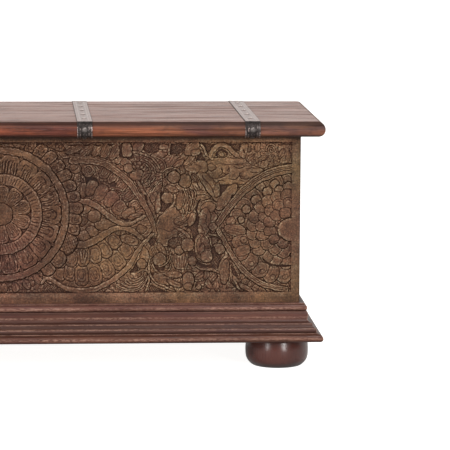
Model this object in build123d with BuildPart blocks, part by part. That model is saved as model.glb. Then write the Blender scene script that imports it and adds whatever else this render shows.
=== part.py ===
"""A long carved storage chest of the Kutch dowry-chest kind: a box of boards on a moulded plinth
with four turned bun feet, and a bullnosed plank lid bound with four nailed straps and hung on
three butt hinges behind the box.

Frame, in millimetres: +X along the chest, -Y towards the carved front, +Z up. The origin is on
the floor under the middle of the chest.
"""

from build123d import *

import math
import os

os.makedirs("parts", exist_ok=True)

# ---------------------------------------------------------------- driving dimensions
LENGTH = 1150.0  # lid and plinth, end to end
DEPTH = 410.0  # lid and plinth, front to back
HEIGHT = 450.0  # floor to the top of the lid boards

LID_T = 28.0
LID_ROUND = 13.5  # bullnose radius of the lid's edges
LID_GAP = 0.5  # between the box and the closed lid
OVERHANG = 40.0  # of the lid and of the plinth past the box, all round
LID_SEAM = 57.0  # the two glue lines of the lid, each side of the middle

BOX_L = LENGTH - 2 * OVERHANG
BOX_D = DEPTH - 2 * OVERHANG
HX, HY = BOX_L / 2, BOX_D / 2

FRONT_T = 22.0
BACK_T = 18.0
SIDE_T = 20.0
FLOOR_T = 14.0
POST = 25.0

FOOT_H = 52.0
FOOT_R = 57.0
FOOT_INSET = 77.0  # foot's centre from the plinth's edges

PLINTH_T = 16.0
PLINTH_RAIL = 120.0
PLINTH_Z = FOOT_H
BOX_Z = PLINTH_Z + PLINTH_T
LID_Z = HEIGHT - LID_T
BOX_TOP = LID_Z - LID_GAP

OGEE_H = 37.0
BEAD_H = 14.0
OGEE_Z = BOX_Z
BEAD_Z = OGEE_Z + OGEE_H + 0.4

# carved field of the front board
FIELD_X = 520.0
FIELD_Z0, FIELD_Z1 = 138.0, 411.0
FIELD_DEPTH = 6.0
MEDAL_Z = 281.0

STRAP_X = (-445.5, -147.5, 147.5, 445.5)
STRAP_NAMES = ("outer_left", "inner_left", "inner_right", "outer_right")
STRAP_W = 27.0
STRAP_T = 1.5
STRAP_UNDER = 26.0  # how far in from the lid's edge a strap ends below the lid
NAIL_Y = (-150.0, -75.0, 0.0, 75.0, 150.0)
NAIL_SHANK_R = 1.25
NAIL_HOLE_R = 1.35
NAIL_HEAD_R = 4.5
NAIL_HEAD_H = 2.2
NAIL_L = 13.0
DOME_RISE = NAIL_HEAD_H - 0.35
DOME_R = (NAIL_HEAD_R**2 + DOME_RISE**2) / (2 * DOME_RISE)
DOME_HALF = math.asin(NAIL_HEAD_R / DOME_R) / 2
DOME_MID = (DOME_R * math.sin(DOME_HALF), NAIL_HEAD_H - DOME_R + DOME_R * math.cos(DOME_HALF))

HINGE_X = (-300.0, 0.0, 300.0)
HINGE_NAMES = ("left", "centre", "right")
HINGE_L = 65.0
HINGE_T = 2.0
KNUCKLE_R = 4.5
KNUCKLE_CLEAR = 0.4  # from the knuckles to the wood beside them
PIN_R = 2.0
PIN_BORE_R = 2.05
AXIS_Y = HY + KNUCKLE_R + KNUCKLE_CLEAR
AXIS_Z = LID_Z - KNUCKLE_R - KNUCKLE_CLEAR
LEAF_DOWN = 32.0
LEAF_BACK = 20.6

CLEAT_X = 300.0
CLEAT_W = 40.0
CLEAT_T = 18.0
CLEAT_HALF = 120.0

SCREW_R = 1.8
SCREW_HOLE_R = 1.9
SCREW_HEAD_R = 3.5
SINK_R = 3.65


def save(part, label):
    part.label = label
    export_step(part, f"parts/{label}.step")


# ---------------------------------------------------------------- small fasteners
def screw_at(plane, length):
    """One countersunk wood screw, its head flush with the plane's origin and its shank going
    against the plane's normal."""
    head_h = SCREW_HEAD_R - SCREW_R
    with BuildPart(mode=Mode.PRIVATE) as one:
        with BuildSketch(Plane.XZ):
            with BuildLine():
                Polyline(
                    (0, 0),
                    (SCREW_HEAD_R, 0),
                    (SCREW_R, -head_h),
                    (SCREW_R, -length + 3),
                    (0.4, -length),
                    (0, -length),
                    close=True,
                )
            make_face()
        revolve(axis=Axis.Z)
        with BuildSketch(Plane.XY):
            Rectangle(2 * SCREW_HEAD_R + 1, 0.9)
        extrude(amount=-0.9, mode=Mode.SUBTRACT)
    return plane.location * one.part


def nail_at(plane):
    """One dome-headed nail, its head standing on the plane's origin along the normal."""
    with BuildPart(mode=Mode.PRIVATE) as one:
        with BuildSketch(Plane.XZ):
            with BuildLine():
                Line((0, NAIL_HEAD_H), (0, -NAIL_L))
                Line((0, -NAIL_L), (NAIL_SHANK_R, -NAIL_L + 3))
                Line((NAIL_SHANK_R, -NAIL_L + 3), (NAIL_SHANK_R, 0))
                Line((NAIL_SHANK_R, 0), (NAIL_HEAD_R, 0))
                Line((NAIL_HEAD_R, 0), (NAIL_HEAD_R, 0.35))
                ThreePointArc((NAIL_HEAD_R, 0.35), DOME_MID, (0, NAIL_HEAD_H))
            make_face()
        revolve(axis=Axis.Z)
    return plane.location * one.part


def write_group(solids, label):
    group = Compound(children=list(solids))
    group.label = label
    export_step(group, f"parts/{label}.step")


# ---------------------------------------------------------------- box boards
# The front board: a recessed field inside a plain border, with the main carved masses standing
# up to the border's level.
FRONT_Y = -HY
FRONT_FACE = Plane(origin=(0, FRONT_Y, 0), x_dir=(1, 0, 0), z_dir=(0, -1, 0))
GROUND_FACE = Plane(origin=(0, FRONT_Y + FIELD_DEPTH, 0), x_dir=(1, 0, 0), z_dir=(0, -1, 0))

with BuildPart() as front_panel:
    with BuildSketch(FRONT_FACE):
        with Locations((0, (BOX_Z + BOX_TOP) / 2)):
            Rectangle(BOX_L, BOX_TOP - BOX_Z)
    extrude(amount=-FRONT_T)
    with BuildSketch(FRONT_FACE):
        with Locations((0, (FIELD_Z0 + FIELD_Z1) / 2)):
            Rectangle(2 * FIELD_X, FIELD_Z1 - FIELD_Z0)
    extrude(amount=-FIELD_DEPTH, mode=Mode.SUBTRACT)
    # medallion: boss, hatched ring, smooth ring
    with BuildSketch(GROUND_FACE):
        with Locations((0, MEDAL_Z)):
            Circle(21.0)
            Circle(70.5)
            Circle(55.0, mode=Mode.SUBTRACT)
            Circle(21.0)
    extrude(amount=FIELD_DEPTH - 1.0)
    with BuildSketch(GROUND_FACE):
        with Locations((0, MEDAL_Z)):
            Circle(120.0)
            Circle(106.5, mode=Mode.SUBTRACT)
    extrude(amount=FIELD_DEPTH - 0.5)
    # petals between the rings, and the pearls around the medallion that fit in the field
    with BuildSketch(GROUND_FACE):
        with Locations((0, MEDAL_Z)):
            with PolarLocations(88.0, 16, start_angle=11.25):
                Ellipse(16.5, 13.0)
            with PolarLocations(37.5, 8):
                Ellipse(14.5, 11.0)
    extrude(amount=FIELD_DEPTH - 2.0)
    with BuildSketch(GROUND_FACE):
        with Locations((0, MEDAL_Z)):
            for half_turn in (0, 180):
                with PolarLocations(131.0, 7, start_angle=half_turn - 45, angular_range=90):
                    Circle(8.6)
    extrude(amount=FIELD_DEPTH - 1.5)
    # half rounds at both ends
    with BuildSketch(GROUND_FACE):
        for side in (-1, 1):
            with Locations((side * (FIELD_X + 2.0), 254.0)):
                Circle(24.0)
        with Locations((0, (FIELD_Z0 + FIELD_Z1) / 2)):
            Rectangle(2 * FIELD_X + 6, FIELD_Z1 - FIELD_Z0, mode=Mode.INTERSECT)
    extrude(amount=FIELD_DEPTH - 1.0)
    # screw holes from the corner posts
    for side in (-1, 1):
        with Locations(
            *[
                Plane(
                    origin=(side * (HX - SIDE_T - POST / 2), FRONT_Y + FRONT_T, z),
                    x_dir=(1, 0, 0),
                    z_dir=(0, 1, 0),
                ).location
                for z in (150.0, 350.0)
            ]
        ):
            Hole(SCREW_HOLE_R, depth=11.0)
save(front_panel.part, "front_panel")

with BuildPart() as back_panel:
    with BuildSketch(Plane(origin=(0, HY, 0), x_dir=(1, 0, 0), z_dir=(0, -1, 0))):
        with Locations((0, (BOX_Z + BOX_TOP) / 2)):
            Rectangle(BOX_L, BOX_TOP - BOX_Z)
    extrude(amount=BACK_T)
    # hinge screw holes, from outside
    with Locations(
        *[
            Plane(origin=(hx + dx, HY, AXIS_Z - 20.0), x_dir=(1, 0, 0), z_dir=(0, 1, 0)).location
            for hx in HINGE_X
            for dx in (-22.0, 0.0, 22.0)
        ]
    ):
        Hole(SCREW_HOLE_R, depth=14.5)
    # screw holes from the corner posts, from inside
    with Locations(
        *[
            Plane(
                origin=(side * (HX - SIDE_T - POST / 2), HY - BACK_T, z),
                x_dir=(1, 0, 0),
                z_dir=(0, -1, 0),
            ).location
            for side in (-1, 1)
            for z in (150.0, 350.0)
        ]
    ):
        Hole(SCREW_HOLE_R, depth=11.0)
save(back_panel.part, "back_panel")

IN_Y0, IN_Y1 = -HY + FRONT_T, HY - BACK_T  # inside faces of the front and back boards
IN_X = HX - SIDE_T


def side_panel(side):
    with BuildPart() as panel:
        with BuildSketch(Plane(origin=(side * IN_X, 0, 0), x_dir=(0, 1, 0), z_dir=(1, 0, 0))):
            with Locations(((IN_Y0 + IN_Y1) / 2, (BOX_Z + BOX_TOP) / 2)):
                Rectangle(IN_Y1 - IN_Y0, BOX_TOP - BOX_Z)
        extrude(amount=side * SIDE_T)
        with Locations(
            *[
                Plane(origin=(side * IN_X, y, z), x_dir=(0, 1, 0), z_dir=(-side, 0, 0)).location
                for y in (IN_Y0 + POST / 2, IN_Y1 - POST / 2)
                for z in (190.0, 390.0)
            ]
        ):
            Hole(SCREW_HOLE_R, depth=11.0)
    return panel.part


save(side_panel(-1), "side_panel_left")
save(side_panel(1), "side_panel_right")

FEET = {
    "front_left": (-(LENGTH / 2 - FOOT_INSET), -(DEPTH / 2 - FOOT_INSET)),
    "front_right": (LENGTH / 2 - FOOT_INSET, -(DEPTH / 2 - FOOT_INSET)),
    "back_left": (-(LENGTH / 2 - FOOT_INSET), DEPTH / 2 - FOOT_INSET),
    "back_right": (LENGTH / 2 - FOOT_INSET, DEPTH / 2 - FOOT_INSET),
}
BOLT_R, BOLT_HOLE_R = 4.0, 4.1
BOLT_Z0, BOLT_Z1 = 18.0, BOX_Z + FLOOR_T - 2.0

with BuildPart() as bottom_board:
    with BuildSketch(Plane.XY.offset(BOX_Z)):
        with Locations((0, (IN_Y0 + IN_Y1) / 2)):
            Rectangle(2 * IN_X, IN_Y1 - IN_Y0)
    extrude(amount=FLOOR_T)
    with Locations(
        *[Plane(origin=(x, y, BOX_Z), x_dir=(1, 0, 0), z_dir=(0, 0, -1)).location for x, y in FEET.values()]
    ):
        Hole(BOLT_HOLE_R, depth=FLOOR_T - 1.5)
save(bottom_board.part, "bottom_board")

# corner posts, standing on the bottom board in the box's corners
POST_Z0, POST_Z1 = BOX_Z + FLOOR_T, BOX_TOP - 6.0
SINK_DEPTH = SINK_R - SCREW_HOLE_R


def corner_post(side, end):
    """side is -1 left or 1 right, end is -1 front or 1 back."""
    cx = side * (IN_X - POST / 2)
    cy = (IN_Y0 + POST / 2) if end < 0 else (IN_Y1 - POST / 2)
    with BuildPart() as post:
        with BuildSketch(Plane.XY.offset(POST_Z0)):
            with Locations((cx, cy)):
                Rectangle(POST, POST)
        extrude(amount=POST_Z1 - POST_Z0)
        # the two inner long edges are eased
        inner = [
            e
            for e in post.part.edges().filter_by(Axis.Z)
            if abs(e.center().X - (cx - side * POST / 2)) < 0.1
            and abs(e.center().Y - (cy - end * POST / 2)) < 0.1
        ]
        chamfer(inner, 3.0)
        with Locations(
            *[
                Plane(
                    origin=(cx, cy - end * POST / 2, z), x_dir=(1, 0, 0), z_dir=(0, -end, 0)
                ).location
                for z in (150.0, 350.0)
            ]
        ):
            CounterSinkHole(SCREW_HOLE_R, SINK_R, depth=POST, counter_sink_angle=90)
        with Locations(
            *[
                Plane(
                    origin=(cx - side * POST / 2, cy, z), x_dir=(0, 1, 0), z_dir=(-side, 0, 0)
                ).location
                for z in (190.0, 390.0)
            ]
        ):
            CounterSinkHole(SCREW_HOLE_R, SINK_R, depth=POST, counter_sink_angle=90)
    return post.part


post_screws = []
for side, side_name in ((-1, "left"), (1, "right")):
    for end, end_name in ((-1, "front"), (1, "back")):
        save(corner_post(side, end), f"corner_post_{end_name}_{side_name}")
        cx = side * (IN_X - POST / 2)
        cy = (IN_Y0 + POST / 2) if end < 0 else (IN_Y1 - POST / 2)
        for z in (150.0, 350.0):
            post_screws.append(
                screw_at(
                    Plane(
                        origin=(cx, cy - end * POST / 2, z), x_dir=(1, 0, 0), z_dir=(0, -end, 0)
                    ),
                    POST + 10.0,
                )
            )
        for z in (190.0, 390.0):
            post_screws.append(
                screw_at(
                    Plane(
                        origin=(cx - side * POST / 2, cy, z), x_dir=(0, 1, 0), z_dir=(-side, 0, 0)
                    ),
                    POST + 10.0,
                )
            )
write_group(post_screws, "post_screws")


# ---------------------------------------------------------------- plinth
def plinth_profile(plane, half):
    """A plate `half` wide to each side, its edge a rounded nose that sits low on the edge, with
    a small step above it."""
    z0, z1 = PLINTH_Z, PLINTH_Z + PLINTH_T
    nose = z0 + 6.5
    top = z1 - 1.2
    with BuildSketch(plane) as section:
        with BuildLine():
            Line((-half + 7.0, z0), (half - 7.0, z0))
            EllipticalCenterArc((half - 7.0, nose), 7.0, 6.5, start_angle=270, arc_size=90)
            EllipticalCenterArc((half - 9.0, nose), 9.0, top - nose, start_angle=0, arc_size=90)
            Polyline((half - 9.0, top), (half - 9.0, z1), (-half + 9.0, z1), (-half + 9.0, top))
            EllipticalCenterArc((-half + 9.0, nose), 9.0, top - nose, start_angle=90, arc_size=90)
            EllipticalCenterArc((-half + 7.0, nose), 7.0, 6.5, start_angle=180, arc_size=90)
        make_face()
    return section.sketch


def plinth_rail(cx, cy, size_x, size_y, bolts):
    """The part of the whole plinth plate that lies in one rectangle."""
    across = plinth_profile(Plane.XZ, LENGTH / 2)
    along = plinth_profile(Plane.YZ, DEPTH / 2)
    with BuildPart() as rail:
        extrude(across, amount=DEPTH / 2 + 1, both=True)
        extrude(along, amount=LENGTH / 2 + 1, both=True, mode=Mode.INTERSECT)
        with BuildSketch(Plane.XY.offset(PLINTH_Z - 1)):
            with Locations((cx, cy)):
                Rectangle(size_x, size_y)
        extrude(amount=PLINTH_T + 2, mode=Mode.INTERSECT)
        if bolts:
            with Locations(*[(x, y, PLINTH_Z + PLINTH_T / 2) for x, y in bolts]):
                Hole(BOLT_HOLE_R)
    return rail.part


rail_y = DEPTH / 2 - PLINTH_RAIL / 2
rail_x = LENGTH / 2 - PLINTH_RAIL / 2
side_rail = DEPTH - 2 * PLINTH_RAIL
save(
    plinth_rail(0, -rail_y, LENGTH + 10, PLINTH_RAIL, [FEET["front_left"], FEET["front_right"]]),
    "plinth_front",
)
save(
    plinth_rail(0, rail_y, LENGTH + 10, PLINTH_RAIL, [FEET["back_left"], FEET["back_right"]]),
    "plinth_back",
)
save(plinth_rail(-rail_x, 0, PLINTH_RAIL, side_rail, []), "plinth_left")
save(plinth_rail(rail_x, 0, PLINTH_RAIL, side_rail, []), "plinth_right")


# ---------------------------------------------------------------- base mouldings
def ogee_profile(plane):
    """Sketch x is the distance out from the box, sketch y the height. From below: a torus, a
    cove, a small fillet, a second cove and a flat band with eased edges."""
    z0 = OGEE_Z
    with BuildSketch(plane) as section:
        with BuildLine():
            Line((0, z0), (27.6, z0))
            ThreePointArc((27.6, z0), (29.0, z0 + 4.0), (27.2, z0 + 8.0))
            ThreePointArc((27.2, z0 + 8.0), (23.6, z0 + 10.4), (22.0, z0 + 14.6))
            Line((22.0, z0 + 14.6), (21.6, z0 + 16.8))
            Line((21.6, z0 + 16.8), (19.6, z0 + 17.2))
            ThreePointArc((19.6, z0 + 17.2), (15.4, z0 + 19.4), (12.9, z0 + 23.4))
            ThreePointArc((12.9, z0 + 23.4), (14.2, z0 + 29.0), (13.9, z0 + 35.0))
            ThreePointArc((13.9, z0 + 35.0), (13.3, z0 + 36.4), (12.0, z0 + OGEE_H))
            Line((12.0, z0 + OGEE_H), (0, z0 + OGEE_H))
            Line((0, z0 + OGEE_H), (0, z0))
        make_face()
    return section.sketch


def bead_profile(plane):
    """A half-round with a small quirk above it."""
    z0 = BEAD_Z
    z1 = z0 + BEAD_H - 2.0
    r = (z1 - z0) / 2
    with BuildSketch(plane) as section:
        with BuildLine():
            Line((0, z0), (13.0 - r, z0))
            ThreePointArc((13.0 - r, z0), (13.0, z0 + r), (13.0 - r, z1))
            Line((13.0 - r, z1), (8.4, z1 + 0.2))
            Line((8.4, z1 + 0.2), (8.4, z0 + BEAD_H))
            Line((8.4, z0 + BEAD_H), (0, z0 + BEAD_H))
            Line((0, z0 + BEAD_H), (0, z0))
        make_face()
    return section.sketch


def moulding(profile, where):
    """One mitred length of moulding on one side of the box."""
    out = 30.0
    if where in ("front", "back"):
        sign = -1 if where == "front" else 1
        # sketch x runs outward from the box face, sketch y up
        plane = Plane(origin=(0, sign * HY, 0), x_dir=(0, sign, 0), z_dir=(sign, 0, 0))
        half = HX + out
        corners = [((-HX, sign * HY), (-1, -sign)), ((HX, sign * HY), (1, -sign))]
    else:
        sign = -1 if where == "left" else 1
        plane = Plane(origin=(sign * HX, 0, 0), x_dir=(sign, 0, 0), z_dir=(0, -sign, 0))
        half = HY + out
        corners = [((sign * HX, -HY), (-sign, -1)), ((sign * HX, HY), (-sign, 1))]
    section = profile(plane)
    with BuildPart() as length:
        extrude(section, amount=half, both=True)
        for (px, py), (nx, ny) in corners:
            split(bisect_by=Plane(origin=(px, py, 0), z_dir=(nx, ny, 0)), keep=Keep.BOTTOM)
    return length.part


for where in ("front", "back", "left", "right"):
    save(moulding(ogee_profile, where), f"base_moulding_{where}")
    save(moulding(bead_profile, where), f"bead_moulding_{where}")


# ---------------------------------------------------------------- feet
def foot(cx, cy):
    with BuildPart() as bun:
        with BuildSketch(Plane(origin=(cx, cy, 0), x_dir=(1, 0, 0), z_dir=(0, -1, 0))):
            with BuildLine():
                Line((0, 0), (41.0, 0))
                Spline(
                    (41.0, 0),
                    (49.3, 4.6),
                    (54.4, 11.5),
                    (FOOT_R, 26.0),
                    (56.3, 40.0),
                    (54.9, 47.5),
                    (51.5, FOOT_H),
                    tangents=((1, 0.12), (-1, 0.9)),
                )
                Line((51.5, FOOT_H), (0, FOOT_H))
                Line((0, FOOT_H), (0, 0))
            make_face()
        revolve(axis=Axis(origin=(cx, cy, 0), direction=(0, 0, 1)))
        with Locations(Location((cx, cy, FOOT_H))):
            Hole(BOLT_HOLE_R, depth=FOOT_H - BOLT_Z0 + 1.0)
    return bun.part


bolts = []
for name, (x, y) in FEET.items():
    save(foot(x, y), f"foot_{name}")
    with BuildPart() as foot_bolt:
        with BuildSketch(Plane(origin=(x, y, BOLT_Z0), x_dir=(1, 0, 0), z_dir=(0, 0, 1))):
            Circle(BOLT_R)
        extrude(amount=BOLT_Z1 - BOLT_Z0)
        chamfer(foot_bolt.edges().filter_by(GeomType.CIRCLE), 1.2)
    bolts.append(foot_bolt.part)
write_group(bolts, "foot_bolts")


# ---------------------------------------------------------------- lid
def lid_section(half):
    with Locations((0, LID_Z + LID_T / 2)):
        RectangleRounded(2 * half, LID_T, LID_ROUND)


def nail_planes(sx, part):
    """Where nails stand on the strap at sx. part is top, nose or under."""
    top_z = LID_Z + LID_T + STRAP_T
    edge = DEPTH / 2 + STRAP_T
    planes = []
    if part in ("top", "all"):
        planes += [Plane(origin=(sx, y, top_z), x_dir=(1, 0, 0), z_dir=(0, 0, 1)) for y in NAIL_Y]
    if part in ("nose", "all"):
        planes += [
            Plane(origin=(sx, s * edge, LID_Z + LID_T / 2), x_dir=(1, 0, 0), z_dir=(0, s, 0))
            for s in (-1, 1)
        ]
    if part in ("under", "all"):
        planes += [
            Plane(
                origin=(sx, s * (DEPTH / 2 - STRAP_UNDER + 6.0), LID_Z - STRAP_T),
                x_dir=(1, 0, 0),
                z_dir=(0, 0, -1),
            )
            for s in (-1, 1)
        ]
    return planes


def lid_board(y0, y1):
    with BuildPart() as board:
        with BuildSketch(Plane.XZ):
            lid_section(LENGTH / 2)
        extrude(amount=DEPTH / 2 + 1, both=True)
        with BuildSketch(Plane.YZ):
            lid_section(DEPTH / 2)
        extrude(amount=LENGTH / 2 + 1, both=True, mode=Mode.INTERSECT)
        with BuildSketch(Plane.XY.offset(LID_Z - 1)):
            with Locations((0, (y0 + y1) / 2)):
                Rectangle(LENGTH + 10, y1 - y0)
        extrude(amount=LID_T + 2, mode=Mode.INTERSECT)
        # nail holes, measured from the straps' outer faces
        for sx in STRAP_X:
            for plane in nail_planes(sx, "all"):
                if y0 <= plane.origin.Y <= y1 or (
                    abs(plane.origin.Y) > DEPTH / 2 and plane.origin.Y * (y0 + y1) > 0
                ):
                    with Locations(plane.location):
                        Hole(NAIL_HOLE_R, depth=NAIL_L + 0.5)
        # hinge leaf screw holes, from below
        if y1 > DEPTH / 2 - 1:
            with Locations(
                *[
                    Plane(
                        origin=(hx + dx, AXIS_Y + 13.0, LID_Z), x_dir=(1, 0, 0), z_dir=(0, 0, -1)
                    ).location
                    for hx in HINGE_X
                    for dx in (-22.0, 0.0, 22.0)
                ]
            ):
                Hole(SCREW_HOLE_R, depth=14.5)
        # cleat screw holes, from below
        cleat_holes = [
            Plane(origin=(s * CLEAT_X, y, LID_Z), x_dir=(1, 0, 0), z_dir=(0, 0, -1)).location
            for s in (-1, 1)
            for y in (-90.0, 0.0, 90.0)
            if y0 < y < y1
        ]
        with Locations(*cleat_holes):
            Hole(SCREW_HOLE_R, depth=12.5)
    return board.part


save(lid_board(-DEPTH / 2 - 1, -LID_SEAM), "lid_board_front")
save(lid_board(-LID_SEAM, LID_SEAM), "lid_board_middle")
save(lid_board(LID_SEAM, DEPTH / 2 + 1), "lid_board_back")

cleat_screws = []
for s, side_name in ((-1, "left"), (1, "right")):
    with BuildPart() as lid_cleat:
        with BuildSketch(Plane.XY.offset(LID_Z - CLEAT_T)):
            with Locations((s * CLEAT_X, 0)):
                Rectangle(CLEAT_W, 2 * CLEAT_HALF)
        extrude(amount=CLEAT_T)
        chamfer(lid_cleat.faces().sort_by(Axis.Z)[0].edges(), 4.0)
        with Locations(
            *[
                Plane(
                    origin=(s * CLEAT_X, y, LID_Z - CLEAT_T), x_dir=(1, 0, 0), z_dir=(0, 0, -1)
                ).location
                for y in (-90.0, 0.0, 90.0)
            ]
        ):
            CounterSinkHole(SCREW_HOLE_R, SINK_R, depth=CLEAT_T, counter_sink_angle=90)
    save(lid_cleat.part, f"lid_cleat_{side_name}")
    cleat_screws += [
        screw_at(
            Plane(origin=(s * CLEAT_X, y, LID_Z - CLEAT_T), x_dir=(1, 0, 0), z_dir=(0, 0, -1)),
            CLEAT_T + 12.0,
        )
        for y in (-90.0, 0.0, 90.0)
    ]
write_group(cleat_screws, "cleat_screws")

# straps: thin bands wrapped round the lid from under its front edge to under its back edge
for sx, strap_name in zip(STRAP_X, STRAP_NAMES):
    with BuildPart() as strap:
        with BuildSketch(Plane(origin=(sx, 0, 0), x_dir=(0, 1, 0), z_dir=(1, 0, 0))):
            with Locations((0, LID_Z + LID_T / 2)):
                RectangleRounded(DEPTH + 2 * STRAP_T, LID_T + 2 * STRAP_T, LID_ROUND + STRAP_T)
                RectangleRounded(DEPTH, LID_T, LID_ROUND, mode=Mode.SUBTRACT)
            with Locations((0, LID_Z - STRAP_T / 2)):
                Rectangle(DEPTH - 2 * STRAP_UNDER, STRAP_T + 1.0, mode=Mode.SUBTRACT)
        extrude(amount=STRAP_W / 2, both=True)
        with Locations(*[p.location for p in nail_planes(sx, "all")]):
            Hole(NAIL_HOLE_R, depth=STRAP_T + 2.0)
    save(strap.part, f"strap_{strap_name}")
    write_group([nail_at(p) for p in nail_planes(sx, "all")], f"strap_nails_{strap_name}")


# ---------------------------------------------------------------- hinges
KN = HINGE_L / 5
KN_GAP = 0.25
CLEAR = KNUCKLE_R + 0.6


def knuckle_spans(own):
    """X ranges of the case leaf's knuckles (own 0: 1st, 3rd, 5th) or the lid leaf's (own 1)."""
    spans = []
    for i in range(5):
        if i % 2 == own:
            a = -HINGE_L / 2 + i * KN + (KN_GAP / 2 if i > 0 else 0.0)
            b = -HINGE_L / 2 + (i + 1) * KN - (KN_GAP / 2 if i < 4 else 0.0)
            spans.append((a, b))
    return spans


def hinge_leaf(hx, on_lid):
    with BuildPart() as leaf:
        if on_lid:
            with BuildSketch(Plane.XY.offset(LID_Z - HINGE_T)):
                with Locations((hx, AXIS_Y + LEAF_BACK / 2)):
                    Rectangle(HINGE_L, LEAF_BACK)
            extrude(amount=HINGE_T)
        else:
            with BuildSketch(Plane(origin=(0, HY, 0), x_dir=(1, 0, 0), z_dir=(0, -1, 0))):
                with Locations((hx, AXIS_Z - LEAF_DOWN / 2)):
                    Rectangle(HINGE_L, LEAF_DOWN)
            extrude(amount=-HINGE_T)
        # room for the other leaf's knuckles
        for a, b in knuckle_spans(0 if on_lid else 1):
            with BuildSketch(
                Plane(origin=(hx + a - KN_GAP, AXIS_Y, AXIS_Z), x_dir=(0, 1, 0), z_dir=(1, 0, 0))
            ):
                Rectangle(2 * CLEAR, 2 * CLEAR)
            extrude(amount=b - a + 2 * KN_GAP, mode=Mode.SUBTRACT)
        # knuckles
        for a, b in knuckle_spans(1 if on_lid else 0):
            with BuildSketch(
                Plane(origin=(hx + a, AXIS_Y, AXIS_Z), x_dir=(0, 1, 0), z_dir=(1, 0, 0))
            ):
                Circle(KNUCKLE_R)
            extrude(amount=b - a)
        # pin bore through the knuckles
        with BuildSketch(
            Plane(
                origin=(hx - HINGE_L / 2 - 1, AXIS_Y, AXIS_Z), x_dir=(0, 1, 0), z_dir=(1, 0, 0)
            )
        ):
            Circle(PIN_BORE_R)
        extrude(amount=HINGE_L + 2, mode=Mode.SUBTRACT)
        if on_lid:
            places = [
                Plane(
                    origin=(hx + dx, AXIS_Y + 13.0, LID_Z - HINGE_T),
                    x_dir=(1, 0, 0),
                    z_dir=(0, 0, -1),
                ).location
                for dx in (-22.0, 0.0, 22.0)
            ]
        else:
            places = [
                Plane(
                    origin=(hx + dx, HY + HINGE_T, AXIS_Z - 20.0),
                    x_dir=(1, 0, 0),
                    z_dir=(0, 1, 0),
                ).location
                for dx in (-22.0, 0.0, 22.0)
            ]
        with Locations(*places):
            CounterSinkHole(SCREW_HOLE_R, SINK_R, depth=HINGE_T + 0.5, counter_sink_angle=90)
    return leaf.part


case_screws, lid_screws = [], []
for hx, hinge_name in zip(HINGE_X, HINGE_NAMES):
    save(hinge_leaf(hx, False), f"hinge_case_leaf_{hinge_name}")
    save(hinge_leaf(hx, True), f"hinge_lid_leaf_{hinge_name}")
    with BuildPart() as hinge_pin:
        with BuildSketch(
            Plane(
                origin=(hx - HINGE_L / 2 - 0.5, AXIS_Y, AXIS_Z), x_dir=(0, 1, 0), z_dir=(1, 0, 0)
            )
        ):
            Circle(PIN_R)
        extrude(amount=HINGE_L + 1.0)
        # upset heads that keep the pin in
        for x, way in ((hx - HINGE_L / 2 - 0.1, -1), (hx + HINGE_L / 2 + 0.1, 1)):
            with BuildSketch(
                Plane(origin=(x, AXIS_Y, AXIS_Z), x_dir=(0, 1, 0), z_dir=(1, 0, 0))
            ):
                Circle(3.2)
            extrude(amount=way * 1.6)
        chamfer(
            hinge_pin.faces().filter_by(Axis.X).sort_by(Axis.X)[0].edges()
            + hinge_pin.faces().filter_by(Axis.X).sort_by(Axis.X)[-1].edges(),
            0.7,
        )
    save(hinge_pin.part, f"hinge_pin_{hinge_name}")
    for dx in (-22.0, 0.0, 22.0):
        case_screws.append(
            screw_at(
                Plane(
                    origin=(hx + dx, HY + HINGE_T, AXIS_Z - 20.0),
                    x_dir=(1, 0, 0),
                    z_dir=(0, 1, 0),
                ),
                16.0,
            )
        )
        lid_screws.append(
            screw_at(
                Plane(
                    origin=(hx + dx, AXIS_Y + 13.0, LID_Z - HINGE_T),
                    x_dir=(1, 0, 0),
                    z_dir=(0, 0, -1),
                ),
                16.0,
            )
        )
write_group(case_screws, "hinge_case_screws")
write_group(lid_screws, "hinge_lid_screws")

print("hinge axis y, z:", AXIS_Y, AXIS_Z)
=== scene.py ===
"""Carved storage chest: the looks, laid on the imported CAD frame. Metres, same frame as the CAD."""
import math

import bpy
import numpy as np
from mathutils import Matrix, Vector


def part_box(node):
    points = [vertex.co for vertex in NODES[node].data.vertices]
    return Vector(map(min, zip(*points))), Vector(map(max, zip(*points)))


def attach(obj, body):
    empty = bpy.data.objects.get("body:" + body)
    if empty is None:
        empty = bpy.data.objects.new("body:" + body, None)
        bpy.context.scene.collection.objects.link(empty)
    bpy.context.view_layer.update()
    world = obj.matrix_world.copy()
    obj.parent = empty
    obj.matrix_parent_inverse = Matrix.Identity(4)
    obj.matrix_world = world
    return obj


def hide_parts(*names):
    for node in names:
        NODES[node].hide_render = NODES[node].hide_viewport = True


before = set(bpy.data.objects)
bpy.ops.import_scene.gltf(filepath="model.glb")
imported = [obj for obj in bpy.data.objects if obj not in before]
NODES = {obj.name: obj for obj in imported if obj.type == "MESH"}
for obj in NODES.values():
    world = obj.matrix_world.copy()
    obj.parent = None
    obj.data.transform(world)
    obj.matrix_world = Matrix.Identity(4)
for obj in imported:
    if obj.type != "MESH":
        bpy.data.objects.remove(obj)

scene = bpy.context.scene
bpy.context.view_layer.update()

# ------------------------------------------------------------------ the carved front
# The carving is laid out in the photograph's own pixels (450 x 450 frame, x right, y down) and
# carried to the front board through the same camera that the scene uses.
CAM = dict(pos=(0.0141971, -5.29062979, 0.9606619), yaw=4.30050955, pitch=7.75569408,
           roll=0.34828867, f=2893.0)


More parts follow.
